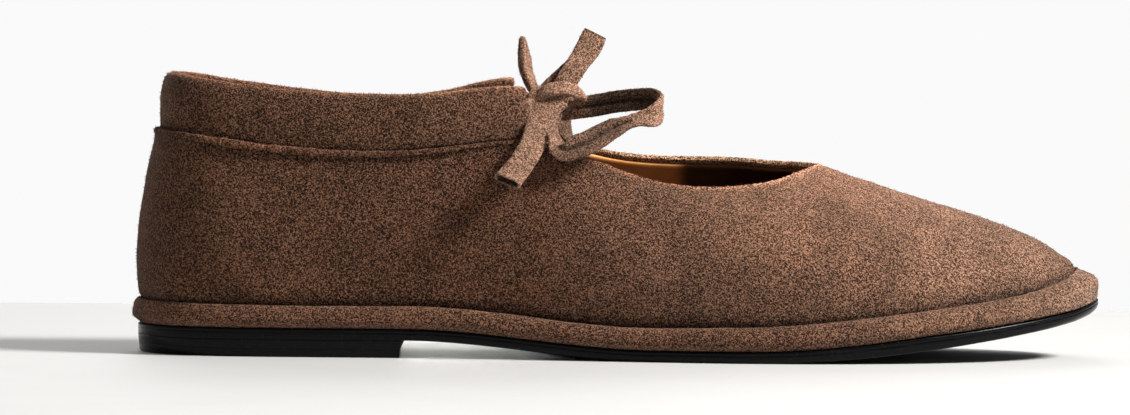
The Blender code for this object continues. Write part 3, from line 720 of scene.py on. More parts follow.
def nap_tree(tuft):
    """Points spread over a surface where its fuzz attribute allows, with a leaning tuft on each."""
    tree = bpy.data.node_groups.new("nap", "GeometryNodeTree")
    for name, kind, way in (
        ("Surface", "Geometry", "INPUT"),
        ("Density", "Float", "INPUT"),
        ("Length", "Float", "INPUT"),
        ("Lean", "Float", "INPUT"),
        ("Seed", "Int", "INPUT"),
        ("Finish", "Material", "INPUT"),
        ("Nap", "Geometry", "OUTPUT"),
    ):
        tree.interface.new_socket(name, in_out=way, socket_type="NodeSocket" + kind)
    given, result = add_node(tree, "NodeGroupInput"), add_node(tree, "NodeGroupOutput")
    scatter = add_node(tree, "GeometryNodeDistributePointsOnFaces")
    fuzz = add_node(tree, "GeometryNodeInputNamedAttribute", data_type="FLOAT")
    fuzz.inputs["Name"].default_value = "fuzz"
    times = add_node(tree, "ShaderNodeMath", operation="MULTIPLY")
    turn = add_node(tree, "FunctionNodeRandomValue", data_type="FLOAT_VECTOR")
    lean = add_node(tree, "ShaderNodeVectorMath", operation="SCALE")
    lean.inputs[0].default_value = (1, 1, 0)
    high = add_node(tree, "ShaderNodeVectorMath", operation="ADD")
    high.inputs[1].default_value = (0, 0, math.pi)
    low = add_node(tree, "ShaderNodeVectorMath", operation="SCALE")
    low.inputs["Scale"].default_value = -1
    spin = add_node(tree, "FunctionNodeRotateRotation", rotation_space="LOCAL")
    size = add_node(tree, "FunctionNodeRandomValue", data_type="FLOAT")
    shorter = add_node(tree, "ShaderNodeMath", operation="MULTIPLY")
    shorter.inputs[1].default_value = 0.45
    source = add_node(tree, "GeometryNodeObjectInfo")
    source.inputs["Object"].default_value = tuft
    copies = add_node(tree, "GeometryNodeInstanceOnPoints")
    real = add_node(tree, "GeometryNodeRealizeInstances")
    paint = add_node(tree, "GeometryNodeSetMaterial")
    turn_in = [socket for socket in turn.inputs if socket.type == "VECTOR"]
    turn_out = [socket for socket in turn.outputs if socket.type == "VECTOR"][0]
    size_in = [socket for socket in size.inputs if socket.type == "VALUE" and socket.enabled]
    size_out = [socket for socket in size.outputs if socket.type == "VALUE"][0]
    for start, end in (
        (given.outputs["Density"], times.inputs[0]),
        (fuzz.outputs["Attribute"], times.inputs[1]),
        (given.outputs["Surface"], scatter.inputs["Mesh"]),
        (times.outputs[0], scatter.inputs["Density"]),
        (given.outputs["Seed"], scatter.inputs["Seed"]),
        (given.outputs["Lean"], lean.inputs["Scale"]),
        (lean.outputs[0], high.inputs[0]),
        (high.outputs[0], low.inputs[0]),
        (low.outputs[0], turn_in[0]),
        (high.outputs[0], turn_in[1]),
        (given.outputs["Seed"], turn.inputs["Seed"]),
        (scatter.outputs["Rotation"], spin.inputs["Rotation"]),
        (turn_out, spin.inputs["Rotate By"]),
        (given.outputs["Length"], shorter.inputs[0]),
        (shorter.outputs[0], size_in[0]),
        (given.outputs["Length"], size_in[1]),
        (scatter.outputs["Points"], copies.inputs["Points"]),
        (source.outputs["Geometry"], copies.inputs["Instance"]),
        (spin.outputs[0], copies.inputs["Rotation"]),
        (size_out, copies.inputs["Scale"]),
        (copies.outputs[0], real.inputs[0]),
        (real.outputs[0], paint.inputs["Geometry"]),
        (given.outputs["Finish"], paint.inputs["Material"]),
        (paint.outputs[0], result.inputs[0]),
    ):
        tree.links.new(start, end)
    return tree


def grow_nap(tree, piece, name, density, length, lean, seed, finish):
    """A mesh of tufts over a piece; density is tufts per square metre where fuzz is 1."""
    holder = put(name, piece.data)
    modifier = holder.modifiers.new("nap", "NODES")
    modifier.node_group = tree
    wanted = {"Density": density, "Length": length, "Lean": lean, "Seed": seed, "Finish": finish}
    for item in tree.interface.items_tree:
        if item.item_type == "SOCKET" and item.in_out == "INPUT" and item.name in wanted:
            modifier[item.identifier] = wanted[item.name]
    view = bpy.context.evaluated_depsgraph_get()
    grown = holder.evaluated_get(view)
    mesh = bpy.data.meshes.new_from_object(grown, preserve_all_data_layers=True, depsgraph=view)
    bpy.data.objects.remove(holder)
    mesh.name = name
    nap = put(name, mesh)
    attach(nap, "root")
    return nap


# Drawstring
def strap_piece(name, path, shape, finish, tone=1.0, hollow_end=False):
    """A flat folded lace along its path, with the raw edges' groove on its up or down side."""
    places, widths = path[:, :3], path[:, 3:]
    ahead = unit(np.gradient(places, axis=0))
    widths = unit(widths - ahead * (widths * ahead).sum(-1, keepdims=True))
    up = np.cross(ahead, widths)
    at_groove = (86.7, 88.76, 89.76, 90, 90.24, 91.24, 93.3)
    half_round = np.radians([*range(5, 80, 10), *at_groove, *range(105, 180, 10)])
    angle = np.concatenate([half_round, 2 * math.pi - half_round[::-1]])
    count = len(angle)
    flat_x = np.sign(np.cos(angle)) * np.abs(np.cos(angle)) ** 0.42 / 2
    flat_y = np.sign(np.sin(angle)) * np.abs(np.sin(angle)) ** 0.55 / 2
    run = np.concatenate([[0], np.cumsum(np.linalg.norm(np.diff(places, axis=0), axis=1))])
    left, right = (
        np.array([[noise.noise(Vector((s / 0.0011, side * 9.0, 4.0)))] for s in run]) for side in (-1, 1)
    )
    wide = shape["wide"][:, None]
    dip = bell(flat_x * wide, 0.6 * MM)
    groove = np.where(flat_y > 0, shape["up_groove"][:, None], shape["down_groove"][:, None])
    x = flat_x * (wide + np.where(flat_x > 0, right, left) * 0.3 * MM)
    y = flat_y * shape["thick"][:, None] - dip * np.sign(flat_y) * groove
    points = places[:, None] + widths[:, None] * x[..., None] + up[:, None] * y[..., None]
    points = points + up[:, None] * (wobble(points, 0.0016, 3) * 0.12 * MM)[..., None]
    rings = list(points)
    if hollow_end:
        mouth = rings[-1] - places[-1]
        middle = places[-1] + mouth * np.array([0.8, 0.8, 0.72])
        rings += [places[-1] + mouth * 0.92 + ahead[-1] * 0.06 * MM, middle]
        rings += [middle - ahead[-1] * 0.8 * MM, middle - ahead[-1] * 1.6 * MM]
    faces = ring_faces(len(rings), count, False)
    for start, turn in ((0, 1), ((len(rings) - 1) * count, -1)):
        ends = [start + i for i in range(count)]
        for i in range(count // 2 - 1):
            faces.append((ends[i], ends[i + 1], ends[count - 2 - i], ends[count - 1 - i])[::turn])
    # Each face's tone carries the stretches' painted shade and painted light.
    up_share = ease((flat_y + 0.06) / 0.12)
    face_tone = up_share * shape["up_tone"][:, None] + (1 - up_share) * shape["down_tone"][:, None]
    # Painted shade in the raw edges' groove.
    face_tone = face_tone * np.where(groove > 0, np.clip(1 - dip * 0.75, 0, 1), 1.0)
    tones = np.ones((len(rings) * count, 3)) * np.array(LACE_SHADE) * tone
    tones[: face_tone.size] *= face_tone.reshape(-1, 1)
    # Painted shade inside the hollow end.
    if hollow_end:
        tones[-3 * count :] *= 0.3
    return piece_from(name, np.concatenate(rings), faces, finish, tones, np.ones(len(tones)))


def strap_shape(path, wide, thick, stretches=()):
    """A strap's width and thickness, and the tone and groove of both its faces, at each point of its path."""
    plain = dict(wide=wide, thick=thick, up_tone=1.0, down_tone=1.0, up_groove=0.0, down_groove=0.0)
    shape = {key: np.full(len(path), value) for key, value in plain.items()}
    for stretch in stretches:
        share = between(path, stretch.start, stretch.end)
        for key in shape:
            change = getattr(stretch, key) * share
            shape[key] = shape[key] + change * MM if "groove" in key else shape[key] * (1 + change)
    return shape


def lace_line(rows):
    """A lace's rows, in mm from the knot's middle or as places already in metres, as one smooth path."""
    table = []
    for row in rows:
        if isinstance(row, Strap):
            table.append((*(np.array(row[:3]) * MM + knot_middle()), *row[3:]))
        else:
            table.append(tuple(row))
    return through(table, lambda b, c: max(1, round(float(np.linalg.norm(c[:3] - b[:3])) / LACE_STEP)))


def from_knot(path):
    """A path's places in mm from the knot's middle."""
    return (path[:, :3] - knot_middle()) / MM


def nearest(path, place):
    """The number of the path's point nearest to a place in mm from the knot."""
    return int(np.argmin(np.linalg.norm(from_knot(path) - np.array(place), axis=1)))


def near(path, place, reach):
    """1 at a place of the path given in mm from the knot, falling to 0 over reach mm."""
    away = np.linalg.norm(from_knot(path) - np.array(place), axis=1)
    return np.clip(1 - away / reach, 0, 1)


def between(path, start, end):
    """The path's points from the one nearest to start to the one nearest to end, as a soft 0 to 1 mask."""
    i = np.arange(len(path))
    return ease((i - nearest(path, start) + 6) / 12) * ease((nearest(path, end) - i + 6) / 12)


FRONT_KNOT = (
    Strap(-4.6, -1.0, -1.6, 0.0, 0.0, 1.0),
    Strap(-1.0, 1.6, -1.9, 0.0, 0.0, 1.0),
    Strap(3.0, 1.2, -1.9, 0.0, -0.1, 1.0),
)
# The front loop as it hangs: out, round its fold, and back along the topline to a second fold.
FRONT_LOOP = (
    Strap(8.8, -0.4, -1.1, 0.0, -0.1, 1.0),
    Strap(12.4, -1.0, -0.5, 0.0, -0.1, 1.0),
    Strap(17.0, -2.0, 0.4, 0.0, -0.1, 1.0),
    Strap(22.8, -3.6, 1.1, 0.0, -0.1, 1.0),
    Strap(27.0, -5.6, 1.2, 0.0, -0.1, 1.0),
    Strap(29.0, -8.4, -0.4, 0.0, -0.05, 1.0),
    Strap(27.4, -11.4, -3.0, 0.0, 0.1, 1.0),
    Strap(22.8, -13.2, -4.0, -0.2, 0.4, 0.9),
    Strap(19.2, -14.2, -5.2, -0.3, 0.5, 0.8),
    Strap(16.2, -15.4, -6.4, -0.45, 0.5, 0.75),
    Strap(13.2, -16.8, -8.1, -0.5, 0.45, 0.75),
    Strap(10.0, -18.4, -9.9, -0.5, 0.4, 0.8),
    Strap(6.6, -19.6, -11.2, -0.4, 0.2, 0.9),
    Strap(4.0, -20.2, -12.1, -0.1, 0.1, 0.95),
    Strap(2.4, -19.2, -11.6, 0.4, 0.3, 0.4),
    Strap(1.7, -15.8, -10.6, 0.76, 0.45, -0.3),
    Strap(0.6, -12.0, -8.8, 0.76, 0.45, -0.45),
    Strap(-0.5, -8.4, -7.2, 0.76, 0.45, -0.45),
    Strap(-1.0, -4.6, -4.6, 0.8, 0.2, -0.45),
    Strap(0.6, -0.8, -1.0, 0.9, 0.0, -0.4),
    Strap(1.8, 0.4, 2.2, 0.9, 0.1, -0.4),
)
BACK_END = (
    Strap(3.2, 0.6, 4.6, 0.86, 0.1, -0.5),
    Strap(4.4, 1.3, 6.8, 0.86, 0.1, -0.5),
    Strap(5.9, 2.4, 9.2, 0.86, 0.1, -0.5),
    Strap(7.8, 3.7, 12.0, 0.86, 0.12, -0.5),
    Strap(9.7, 4.9, 14.9, 0.86, 0.14, -0.5),
    Strap(11.4, 5.8, 18.6, 0.86, 0.15, -0.5),
)
BACK_KNOT = (
    Strap(-0.6, 7.4, -2.0, 0.0, 0.3, 1.0),
    Strap(-1.6, 4.6, 0.0, 0.2, 0.9, 0.2),
)
# The medial half from its mouth to the knot.
BEHIND = (
    Strap(-1.8, 25.4, -3.4, 0.0, 0.0, 1.0),
    Strap(3.4, 18.0, -7.2, -0.1, 0.0, 1.0),
    Strap(4.4, 12.6, -8.2, -0.2, 0.0, 1.0),
)
# The back loop as one line, its two plies lie on each side of it.
BACK_LOOP = (
    Strap(-3.4, 4.6, 1.2, 0.34, 0.9, -0.2),
    Strap(-5.2, 5.4, 3.4, 0.34, 0.9, -0.2),
    Strap(-6.6, 5.9, 6.4, 0.34, 0.9, -0.2),
    Strap(-7.3, 6.8, 9.0, 0.36, 0.9, -0.2),
    Strap(-7.7, 7.5, 12.0, 0.38, 0.9, -0.2),
    Strap(-8.1, 8.0, 15.0, 0.34, 0.9, -0.2),
    Strap(-8.3, 8.2, 16.9, 0.3, 0.9, -0.2),
)
BACK_RETURN = (
    Strap(-2.4, 3.6, 1.4, 0.4, 0.8, 0.1),
    Strap(1.6, 2.0, 2.6, 0.8, 0.4, 0.2),
    Strap(2.6, -1.0, 3.4, 1.0, 0.1, 0.05),
)
# The front end as it hangs, with the lace's width in mm at each row.
Hang = namedtuple("Hang", "x y z wide_x wide_y wide_z across")
FRONT_END = (
    Hang(0.2, -4.0, 2.7, 1.0, 0.0, 0.05, 10.6),
    Hang(-1.2, -5.5, 0.9, 1.0, 0.0, 0.04, 11.2),
    Hang(-2.4, -7.6, -1.9, 1.0, -0.05, 0.02, 9.2),
    Hang(-3.0, -10.2, -4.6, 1.0, -0.08, -0.16, 7.8),
    Hang(-4.4, -14.2, -8.6, 0.94, -0.1, -0.34, 6.8),
    Hang(-5.9, -17.9, -12.2, 0.88, -0.1, -0.46, 6.7),
    Hang(-8.3, -21.1, -16.0, 0.85, -0.1, -0.5, 6.7),
    Hang(-10.7, -23.3, -19.0, 0.95, -0.12, -0.28, 7.1),
    Hang(-11.9, -24.9, -20.4, 0.97, -0.1, -0.18, 7.5),
)


def two_plies():
    """The back loop's rows up one ply, over the tip and down the other, each a little aside from its line."""
    up, down = [], []
    for row in BACK_LOOP[:-1]:
        aside = 0.45 - 0.2 * ease((row.z - 11) / 5)
        up.append(Strap(row.x + aside, row.y - 0.8, row.z, *row[3:]))
        down.append(Strap(row.x - aside, row.y + 0.8, row.z, *row[3:]))
    return up + [BACK_LOOP[-1]] + down[::-1]


# What changes over a stretch of lace, from start to end in mm from the knot: shares of its width, of its
# thickness and of the tone of its up and down face (painted shade and painted light), and the depth in mm of
# the groove in each.
Stretch = namedtuple(
    "Stretch", "start end wide thick up_tone down_tone up_groove down_groove", defaults=(0, 0, 0, 0, 0, 0)
)

LATERAL_STRETCHES = (
    # Painted shade on the front loop's inner face and lower strand, and a little on the back end.
    Stretch((8.8, -0.4, -1.5), (28.6, -7.4, 0.4), up_tone=-0.76, up_groove=0.7),
    Stretch((19.2, -14.2, -5.2), (4.0, -20.2, -12.1), 0, 0, -0.4, -0.58, 0.8, 0.8),
    Stretch((25.4, -12.4, -3.4), (18.2, -14.6, -5.6), wide=-0.36),
    Stretch((14, -16.4, -7.6), (6.6, -19.6, -11.2), wide=0.12),
    Stretch((8.6, 4.2, 13.2), (11.4, 5.8, 18.6), wide=0.16),
    Stretch(BACK_END[0][:3], (11.4, 5.8, 18.6), up_tone=-0.2, down_tone=-0.2),
    Stretch((2.4, -19.2, -11.6), (-1.0, -4.6, -4.6), thick=-0.3),
)

MEDIAL_STRETCHES = (
    # Painted shade on the medial half behind the knot, and painted light on the back loop.
    Stretch((0, 22, -6), (0.0, 8.4, -3.4), up_tone=-0.5, down_tone=-0.5),
    Stretch(BACK_LOOP[1][:3], BACK_RETURN[0][:3], thick=-0.24, up_tone=0.7, down_tone=0.7),
    Stretch((3.4, 18.0, -7.2), (2.4, 10.6, -6.6), wide=0.3),
)


def lace_rows():
    """The rows of both halves, each from its channel mouth through the knot to its end."""
    end = collar_turns()[-1]
    outer = mouth_points(end, -0.05)
    inner = mouth_points(-end, 0.05)
    lateral = outer + list(BAR) + list(FRONT_KNOT) + list(FRONT_LOOP) + list(BACK_END)
    hang = [Strap(*row[:6]) for row in FRONT_END]
    medial = inner + list(BEHIND) + list(BACK_KNOT) + two_plies() + list(BACK_RETURN) + hang
    return lateral, medial


def make_laces(finish):
    """Both halves of the drawstring, each with its path."""
    lateral, medial = (lace_line(rows) for rows in lace_rows())
    thick = LACE_THICK * 0.88
    lateral_shape = strap_shape(lateral, LACE_WIDE, thick, LATERAL_STRETCHES)
    medial_shape = strap_shape(medial, LACE_WIDE, thick, MEDIAL_STRETCHES)
    wide = medial_shape["wide"]
    wide *= 1 - 0.74 * near(medial, BACK_LOOP[-1][:3], 6.5) ** 1.2
    first = nearest(medial, FRONT_END[0][:3])
    fall = -from_knot(medial)[first:, 2]
    wide[first:] = np.interp(fall, -column_of(FRONT_END, "z"), column_of(FRONT_END, "across")) * MM
    start = max(first - 14, 0)
    wide[start:first] = np.interp(np.arange(start, first), [start, first], [LACE_WIDE, wide[first]])
    medial_shape["thick"] *= 1 + 0.8 * near(medial, FRONT_END[-1][:3], 6.0)
    laces = []
    for name, path, shape, nodes in (
        ("lace_lateral_half", lateral, lateral_shape, ("lace_bar", "lace_loop_front", "lace_end_back")),
        ("lace_medial_half", medial, medial_shape, ("lace_loop_back", "lace_end_front")),
    ):
        piece = strap_piece(name, path, shape, finish, hollow_end=path is medial)
        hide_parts(*nodes)
        laces.append((piece, path))
    return laces


LACE_SHADE = (0.92, 0.88, 0.86)
# The strap that is drawn over the knot, from behind on the heel side to behind on the toe side.
WRAP = (
    Strap(-3.6, 1.6, -0.6, 0.6, -0.3, 0.6),
    Strap(-4.1, -2.2, 0.6, 0.6, 0.1, 0.6),
    Strap(-3.6, -4.8, 1.9, 0.4, 0.3, 0.7),
    Strap(-1.8, -6.0, 3.1, 0.1, 0.5, 0.75),
    Strap(0.6, -6.4, 3.8, 0.0, 0.5, 0.75),
    Strap(3.5, -6.2, 4.0, -0.05, 0.5, 0.75),
    Strap(5.8, -5.4, 3.3, -0.2, 0.4, 0.75),
    Strap(7.2, -4.2, 2.5, -0.3, 0.3, 0.75),
    Strap(8.2, -2.4, 1.8, -0.4, 0.1, 0.75),
    Strap(8.2, -0.4, 1.4, -0.5, 0.0, 0.7),
)
# The lace's rear ply, painted dark as it lies in shade, which shows beside the back end where both leave the
# knot.
REAR_PLY = (
    Strap(-3.4, 1.6, 2.6, 0.6, 0.1, -0.7),
    Strap(-1.2, 2.2, 5.2, 0.6, 0.1, -0.7),
    Strap(1.6, 3.0, 7.8, 0.6, 0.1, -0.6),
    Strap(4.6, 3.8, 10.6, 0.6, 0.1, -0.6),
)


def make_knot_body(finish):
    """A lumpy core with the wrap over it, and the rear ply beside it."""
    turns, rows = 64, 32
    angle = round_turns(turns)
    rings = []
    for i in range(rows + 1):
        rise = math.pi * (i + 0.02) / (rows + 0.04)
        flat = np.stack([np.cos(angle), np.sin(angle)], -1) * math.sin(rise)
        ball = np.concatenate([flat, np.full((turns, 1), -math.cos(rise))], -1)
        rings.append(knot_middle() + ball * np.array(KNOT_RADII) * np.array([0.86, 0.92, 0.82]))
    rings = np.array(rings)
    rings += unit(rings - knot_middle()) * (wobble(rings, 0.003, 8) * 0.5 * MM)[..., None]
    count = (rows + 1) * turns
    faces = ring_faces(rows + 1, turns, False)
    # Painted shade on the core inside the knot.
    core = piece_from("knot_core", rings, faces, finish, np.full((count, 3), 0.5), np.ones(count))
    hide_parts("lace_knot")
    parts = [core]
    # Painted light on the wrap and painted shade on the rear ply.
    for name, rows, wide, tone in (("knot_wrap", WRAP, 4.0, 1.15), ("lace_rear_ply", REAR_PLY, 2.2, 0.45)):
        path = lace_line(rows)
        shape = strap_shape(path, wide * MM, LACE_THICK)
        if name == "knot_wrap":
            shape["wide"] *= 1 - 0.5 * ease((from_knot(path)[:, 0] - 5.8) / 3)
        parts.append(strap_piece(name, path, shape, finish, tone))
    return parts


# Upper

# Points round each piece, and up or along it
UPPER_AROUND, UPPER_ROWS = 480, 84
LINING_AROUND, LINING_ROWS = 360, 40
SEAM_STEPS = 900
COLLAR_AROUND, MOUTH_STEPS = 420, 26
ROLL_AROUND = 640
SOLE_AROUND = 480
SOCK_AROUND = 360
HEEL_STEPS, BREAST_STEPS = 90, 40

SUEDE_THICK = 1.25 * MM
EDGE_DROP = 1.5 * MM  # the lining ends this far below the suede's cut edge
LINING_GAP = 0.06 * MM  # between suede and lining
LIP_PUSH = 0.45 * MM  # how far the wall swells out below the collar
FOOT_TUCK = 0.55 * MM  # how far its foot is drawn in
TOE_PUSH = 1.3 * MM  # how far it comes out at the tip, to meet the roll
FOOT_PLEATS = 0.42 * MM
NAP_LUMPS = 0.16 * MM
MOUTH_TUCK = 0.35 * MM  # how far the collar's ends are rounded in
ROLL_GATHER = 0.42 * MM
HEEL_LAYER = 0.12 * MM  # how far the heel's first and last layer reach past its front face

# Soft hollows (below 0) and swells of the wall: the middle's turn in degrees, its place up the wall,
# their reach and the depth in mm.
Crease = namedtuple("Crease", "turn up reach_turn reach_up depth")
CREASES = (
    Crease(97, 0.62, 9, 0.22, -0.9),
    Crease(106, 0.80, 6, 0.16, 0.5),
    Crease(88, 0.45, 10, 0.25, 0.4),
    Crease(118, 0.55, 14, 0.30, 0.5),
    Crease(36, 0.36, 10, 0.22, 0.5),
    Crease(22, 0.55, 9, 0.25, -0.5),
    Crease(60, 0.25, 16, 0.18, -0.4),
    Crease(-97, 0.62, 9, 0.22, -0.7),
    Crease(-112, 0.5, 14, 0.30, 0.4),
    Crease(-36, 0.36, 12, 0.22, 0.4),
    Crease(150, 0.30, 12, 0.18, -0.35),
    Crease(-150, 0.30, 12, 0.18, -0.35),
    Crease(100, 0.42, 5, 0.20, -0.7),
    Crease(112, 0.38, 5, 0.18, 0.6),
    Crease(180, 0.24, 14, 0.28, 0.6),
)


def crease_field(turns, rows):
    """How far the hollows and swells push the wall out at each turn and row."""
    angles = np.degrees(turns)[:, None]
    up = np.asarray(rows, float)[None, :]
    field = np.zeros((len(turns), up.shape[1]))
    for crease in CREASES:
        away = np.mod(angles - crease.turn + 180, 360) - 180
        field += crease.depth * MM * bell(away, crease.reach_turn) * bell(up - crease.up, crease.reach_up)
    return field


def make_suede_upper(finish):
    """The suede of vamp and quarters: cut top edge, seam lip, and its foot drawn into the groove."""
    turns = round_turns(UPPER_AROUND)
    even = np.linspace(0, 1, UPPER_ROWS)
    rows = even - 0.035 * np.sin(2 * math.pi * even)
    outer, normal = wall_points(turns, rows), wall_normals(turns, rows)
    below = np.linalg.norm(outer - outer[:, -1:], axis=-1)
    above = np.linalg.norm(outer - outer[:, :1], axis=-1)
    share = collar_share(turns)[:, None]
    from_tip = np.degrees(np.abs(turns - math.pi))[:, None]
    push = crease_field(turns, rows) * np.clip(above / 0.006, 0, 1) * np.clip(below / 0.004, 0, 1)
    push = push + LIP_PUSH * bell(below, LIP_FALL) * share - FOOT_TUCK * bell(above, 0.0016)
    push = push + TOE_PUSH * bell(from_tip, 11) * ease(above / 0.0012) * (1 - ease((above - 0.003) / 0.005))
    coarse = wobble(outer, 0.0075, 1) * NAP_LUMPS
    pleat = wobble(outer * np.array([1, 1, 0.25]), 0.0021, 5) * FOOT_PLEATS * bell(above, 0.003)
    fine = wobble(outer, 0.0019, 2) * 0.05 * MM
    shape = outer + normal * (push + coarse + pleat + fine)[..., None]
    inner = outer + wall_inwards(normal, rows) * SUEDE_THICK
    into = unit(inner[:, -1] - outer[:, -1])
    edge = []
    for across, rise in ((0.12, 0.22), (0.38, 0.36), (0.66, 0.34), (0.9, 0.16)):
        middle = outer[:, -1] + into * SUEDE_THICK * across
        ragged = wobble(middle, 0.0008, 6 + int(across * 10)) * 0.14 * MM
        edge.append(middle + UP * (rise * MM + ragged)[:, None])
    keep = list(range(len(rows) - 1, -1, -3))
    rings = [shape[:, i] for i in range(len(rows))] + edge + [inner[:, i] for i in keep]
    points = np.concatenate(rings)
    ring_of = np.arange(len(points)) // UPPER_AROUND
    inside = ring_of >= len(rows) + len(edge)
    place = np.repeat(np.concatenate([rows, np.ones(len(edge)), rows[keep]]), UPPER_AROUND)
    lift = np.where(inside, 1.0, place)
    along = points[:, 0] / LENGTH + 0.5
    seam = np.tile(share[:, 0], len(rings))
    # Painted shade: dark in the groove at the wall's foot, darker towards the bottom on the forepart, and a
    # wide shade pocket above the groove along the sides.
    shade_pocket = ease((along - 0.22) / 0.1) * (1 - ease((along - 0.8) / 0.1))
    dark = 1 - 0.6 * bell(lift, 0.045)
    dark = dark * (1 - 0.26 * (1 - lift) ** 1.5 * ease((along - 0.45) / 0.3))
    dark = dark * (1 - (0.16 + 0.22 * shade_pocket) * bell(lift, 0.13))
    # Painted shadow in a band just under the collar and its seam allowance; painted highlight along the bare
    # cut edge, with its paler raw nap.
    dark = dark * (1 - 0.6 * seam * bell(1 - lift, 0.05)) * (1 + 1.1 * (1 - seam) * bell(1 - lift, 0.02))
    # Painted light: the forepart's wall is lighter towards its top line, where the light falls.
    dark = dark * (1 + 0.22 * ease((lift - 0.66) / 0.25) * ease((along - 0.55) / 0.2))
    # Painted light on the inside face just below the cut edge, and painted shade deeper in.
    dark = np.where(inside, 1.5 - 0.9 * np.clip((1 - place) / 0.1, 0, 1), dark)
    # Painted light on the far (medial) cut edge, lighter and a little cooler.
    far_edge_light = ease((0.004 + points[:, 1]) / 0.008) * (1 - seam) * (lift > 0.985)
    tone = shades(UPPER_TONES, points, dark * (1 + 0.8 * far_edge_light))
    tone = tone * (1 + far_edge_light[:, None] * np.array([-0.1, 0.12, 0.1]))
    fuzz = np.where(ring_of >= len(rows), 9.0 * (1 - seam) + 0.5, 1.0) + 2.2 * bell(lift, 0.06)
    fuzz = np.where(inside, 0.0, fuzz)
    piece = piece_from("suede_upper", points, ring_faces(len(rings), UPPER_AROUND, True), finish, tone, fuzz)
    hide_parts("upper")
    return piece


def make_lining(finish):
    """The leather lining inside the wall, ending a little below the suede's edge."""
    turns = round_turns(LINING_AROUND)
    rows = np.linspace(0, 1, LINING_ROWS)
    outer, normal = wall_points(turns, rows), wall_normals(turns, rows)
    below = np.linalg.norm(outer[:, 0] - outer[:, -1], axis=-1)
    shorter = rows[None, :] * (1 - EDGE_DROP / np.maximum(below, 1e-6))[:, None]

    def at_shorter(values):
        columns = [
            [np.interp(places, rows, column) for column in line.T] for places, line in zip(shorter, values)
        ]
        return np.array(columns).transpose(0, 2, 1)

    first, ways = at_shorter(outer), unit(at_shorter(wall_inwards(normal, rows)))
    front = first + ways * (SUEDE_THICK + LINING_GAP)
    back = first + ways * WALL * 0.99
    back = back + ways * (wobble(back, 0.012, 4) * 0.12 * MM)[..., None]
    crown = (front[:, -1] + back[:, -1]) / 2 + UP * 0.16 * MM
    top = len(rows)
    rings = [back[:, i] for i in range(top)] + [crown] + [front[:, i] for i in range(top - 1, -1, -4)]
    points = np.concatenate(rings)
    x, y = points[:, 0], points[:, 1]
    row = np.arange(len(points)) // len(turns)
    # Painted shade: the lining is made dark forward of the throat, where the vamp keeps the light out.
    vamp = ease((x - 0.0155) / 0.004)[:, None]
    tone = np.full((len(points), 3), 0.74) * (1 - vamp * np.array([0.93, 0.95, 0.95]))
    # Painted highlight along the lining's top edge, with its lighter cut edge; dimmed forward of the throat
    # with the painted shade there.
    bead = (row >= top - 1) & (row <= top + 1)
    tone = np.where(bead[:, None], 2.5 * (1 - 0.92 * vamp), tone)
    # Painted shade on the lining's top rows under the collar.
    away = np.abs((turns + math.pi) % (2 * math.pi) - math.pi)
    under = np.tile(away < collar_turns()[-1] + 0.06, len(rings)) & (row <= top + 1) & (row >= top - 2)
    tone = np.where(under[:, None], np.array([0.12, 0.13, 0.16]), tone)
    shadow = (row <= top + 1) & (row >= top - 12) & (x > -0.025) & (x < -0.011) & (y > 0)
    tone = np.where(shadow[:, None], tone * 0.12, tone)
    return piece_from("upper_lining", points, ring_faces(len(rings), len(turns), True), finish, tone)


# The seam allowance's section: how far out and up each point lies, as shares of its reach and height.
SEAM_SECTION = (
    (-0.1, -0.7), (-0.1, 0.28), (0.5, 0.36), (0.85, 0.26), (1.0, -0.15), (1.02, -0.6), (0.92, -1.0),
    (0.6, -0.98), (-0.1, -0.7),
)


# The raw seam allowance below the collar: height and how far it stands out, in mm, and how light it is,
# partly its raw edge's paler colour and partly painted light, by degrees from the heel.
Allowance = namedtuple("Allowance", "turn height out light")
ALLOWANCES = (
    Allowance(0, 1.0, 0.6, 1.0),
    Allowance(18, 1.2, 0.9, 1.2),
    Allowance(28, 1.4, 1.2, 1.8),
    Allowance(38, 2.0, 1.4, 2.1),
    Allowance(50, 1.7, 1.3, 1.8),
    Allowance(62, 1.4, 1.2, 1.6),
    Allowance(72, 1.1, 1.0, 1.3),
    Allowance(82, 0.6, 0.8, 0.9),
)


def make_seam_edge(finish):
    """The ragged cut edge that stands out under the collar."""
    reach = collar_turns()[-1] + 0.015
    turns = np.linspace(-reach, reach, SEAM_STEPS)
    top = wall_points(turns, [1])[:, 0]
    level = unit(wall_normals(turns, [0.985])[:, 0] * LEVEL)
    degrees = np.abs(np.degrees(turns))
    height, out, pale_and_lit = (look_up(ALLOWANCES, "turn", name, degrees) for name in ("height", "out", "light"))
    height = height * MM * (1 + 0.38 * wobble(top, 0.0026, 11) + 0.3 * wobble(top, 0.0008, 12))
    out = out * MM * (1 + 0.3 * wobble(top, 0.0016, 13))
    section = refined(SEAM_SECTION, 2)[:-1]
    rings = []
    for across, rise in section:
        lift = np.where(rise > 0, rise * (1.1 * height + 0.3 * MM), rise * 0.62 * height)
        rings.append(top + level * (out * across)[:, None] + UP * lift[:, None])
    points = np.array(rings).transpose(1, 0, 2)
    points = points + level[:, None] * (wobble(points, 0.0008, 14) * 0.16 * MM)[..., None]
    count = len(section)
    flat = points.reshape(-1, 3)
    # Painted shade on the allowance's underside.
    under = np.tile(np.where(section[:, 1] > -0.85, 1.0, 0.6), len(turns))
    tone = shades(UPPER_TONES, flat, np.repeat(pale_and_lit, count)) * np.array([1.0, 1.02, 1.04]) * under[:, None]
    faces = ring_faces(len(turns), count, False)
    return piece_from("seam_edge", flat, faces, finish, tone, np.full(len(flat), 4.0))


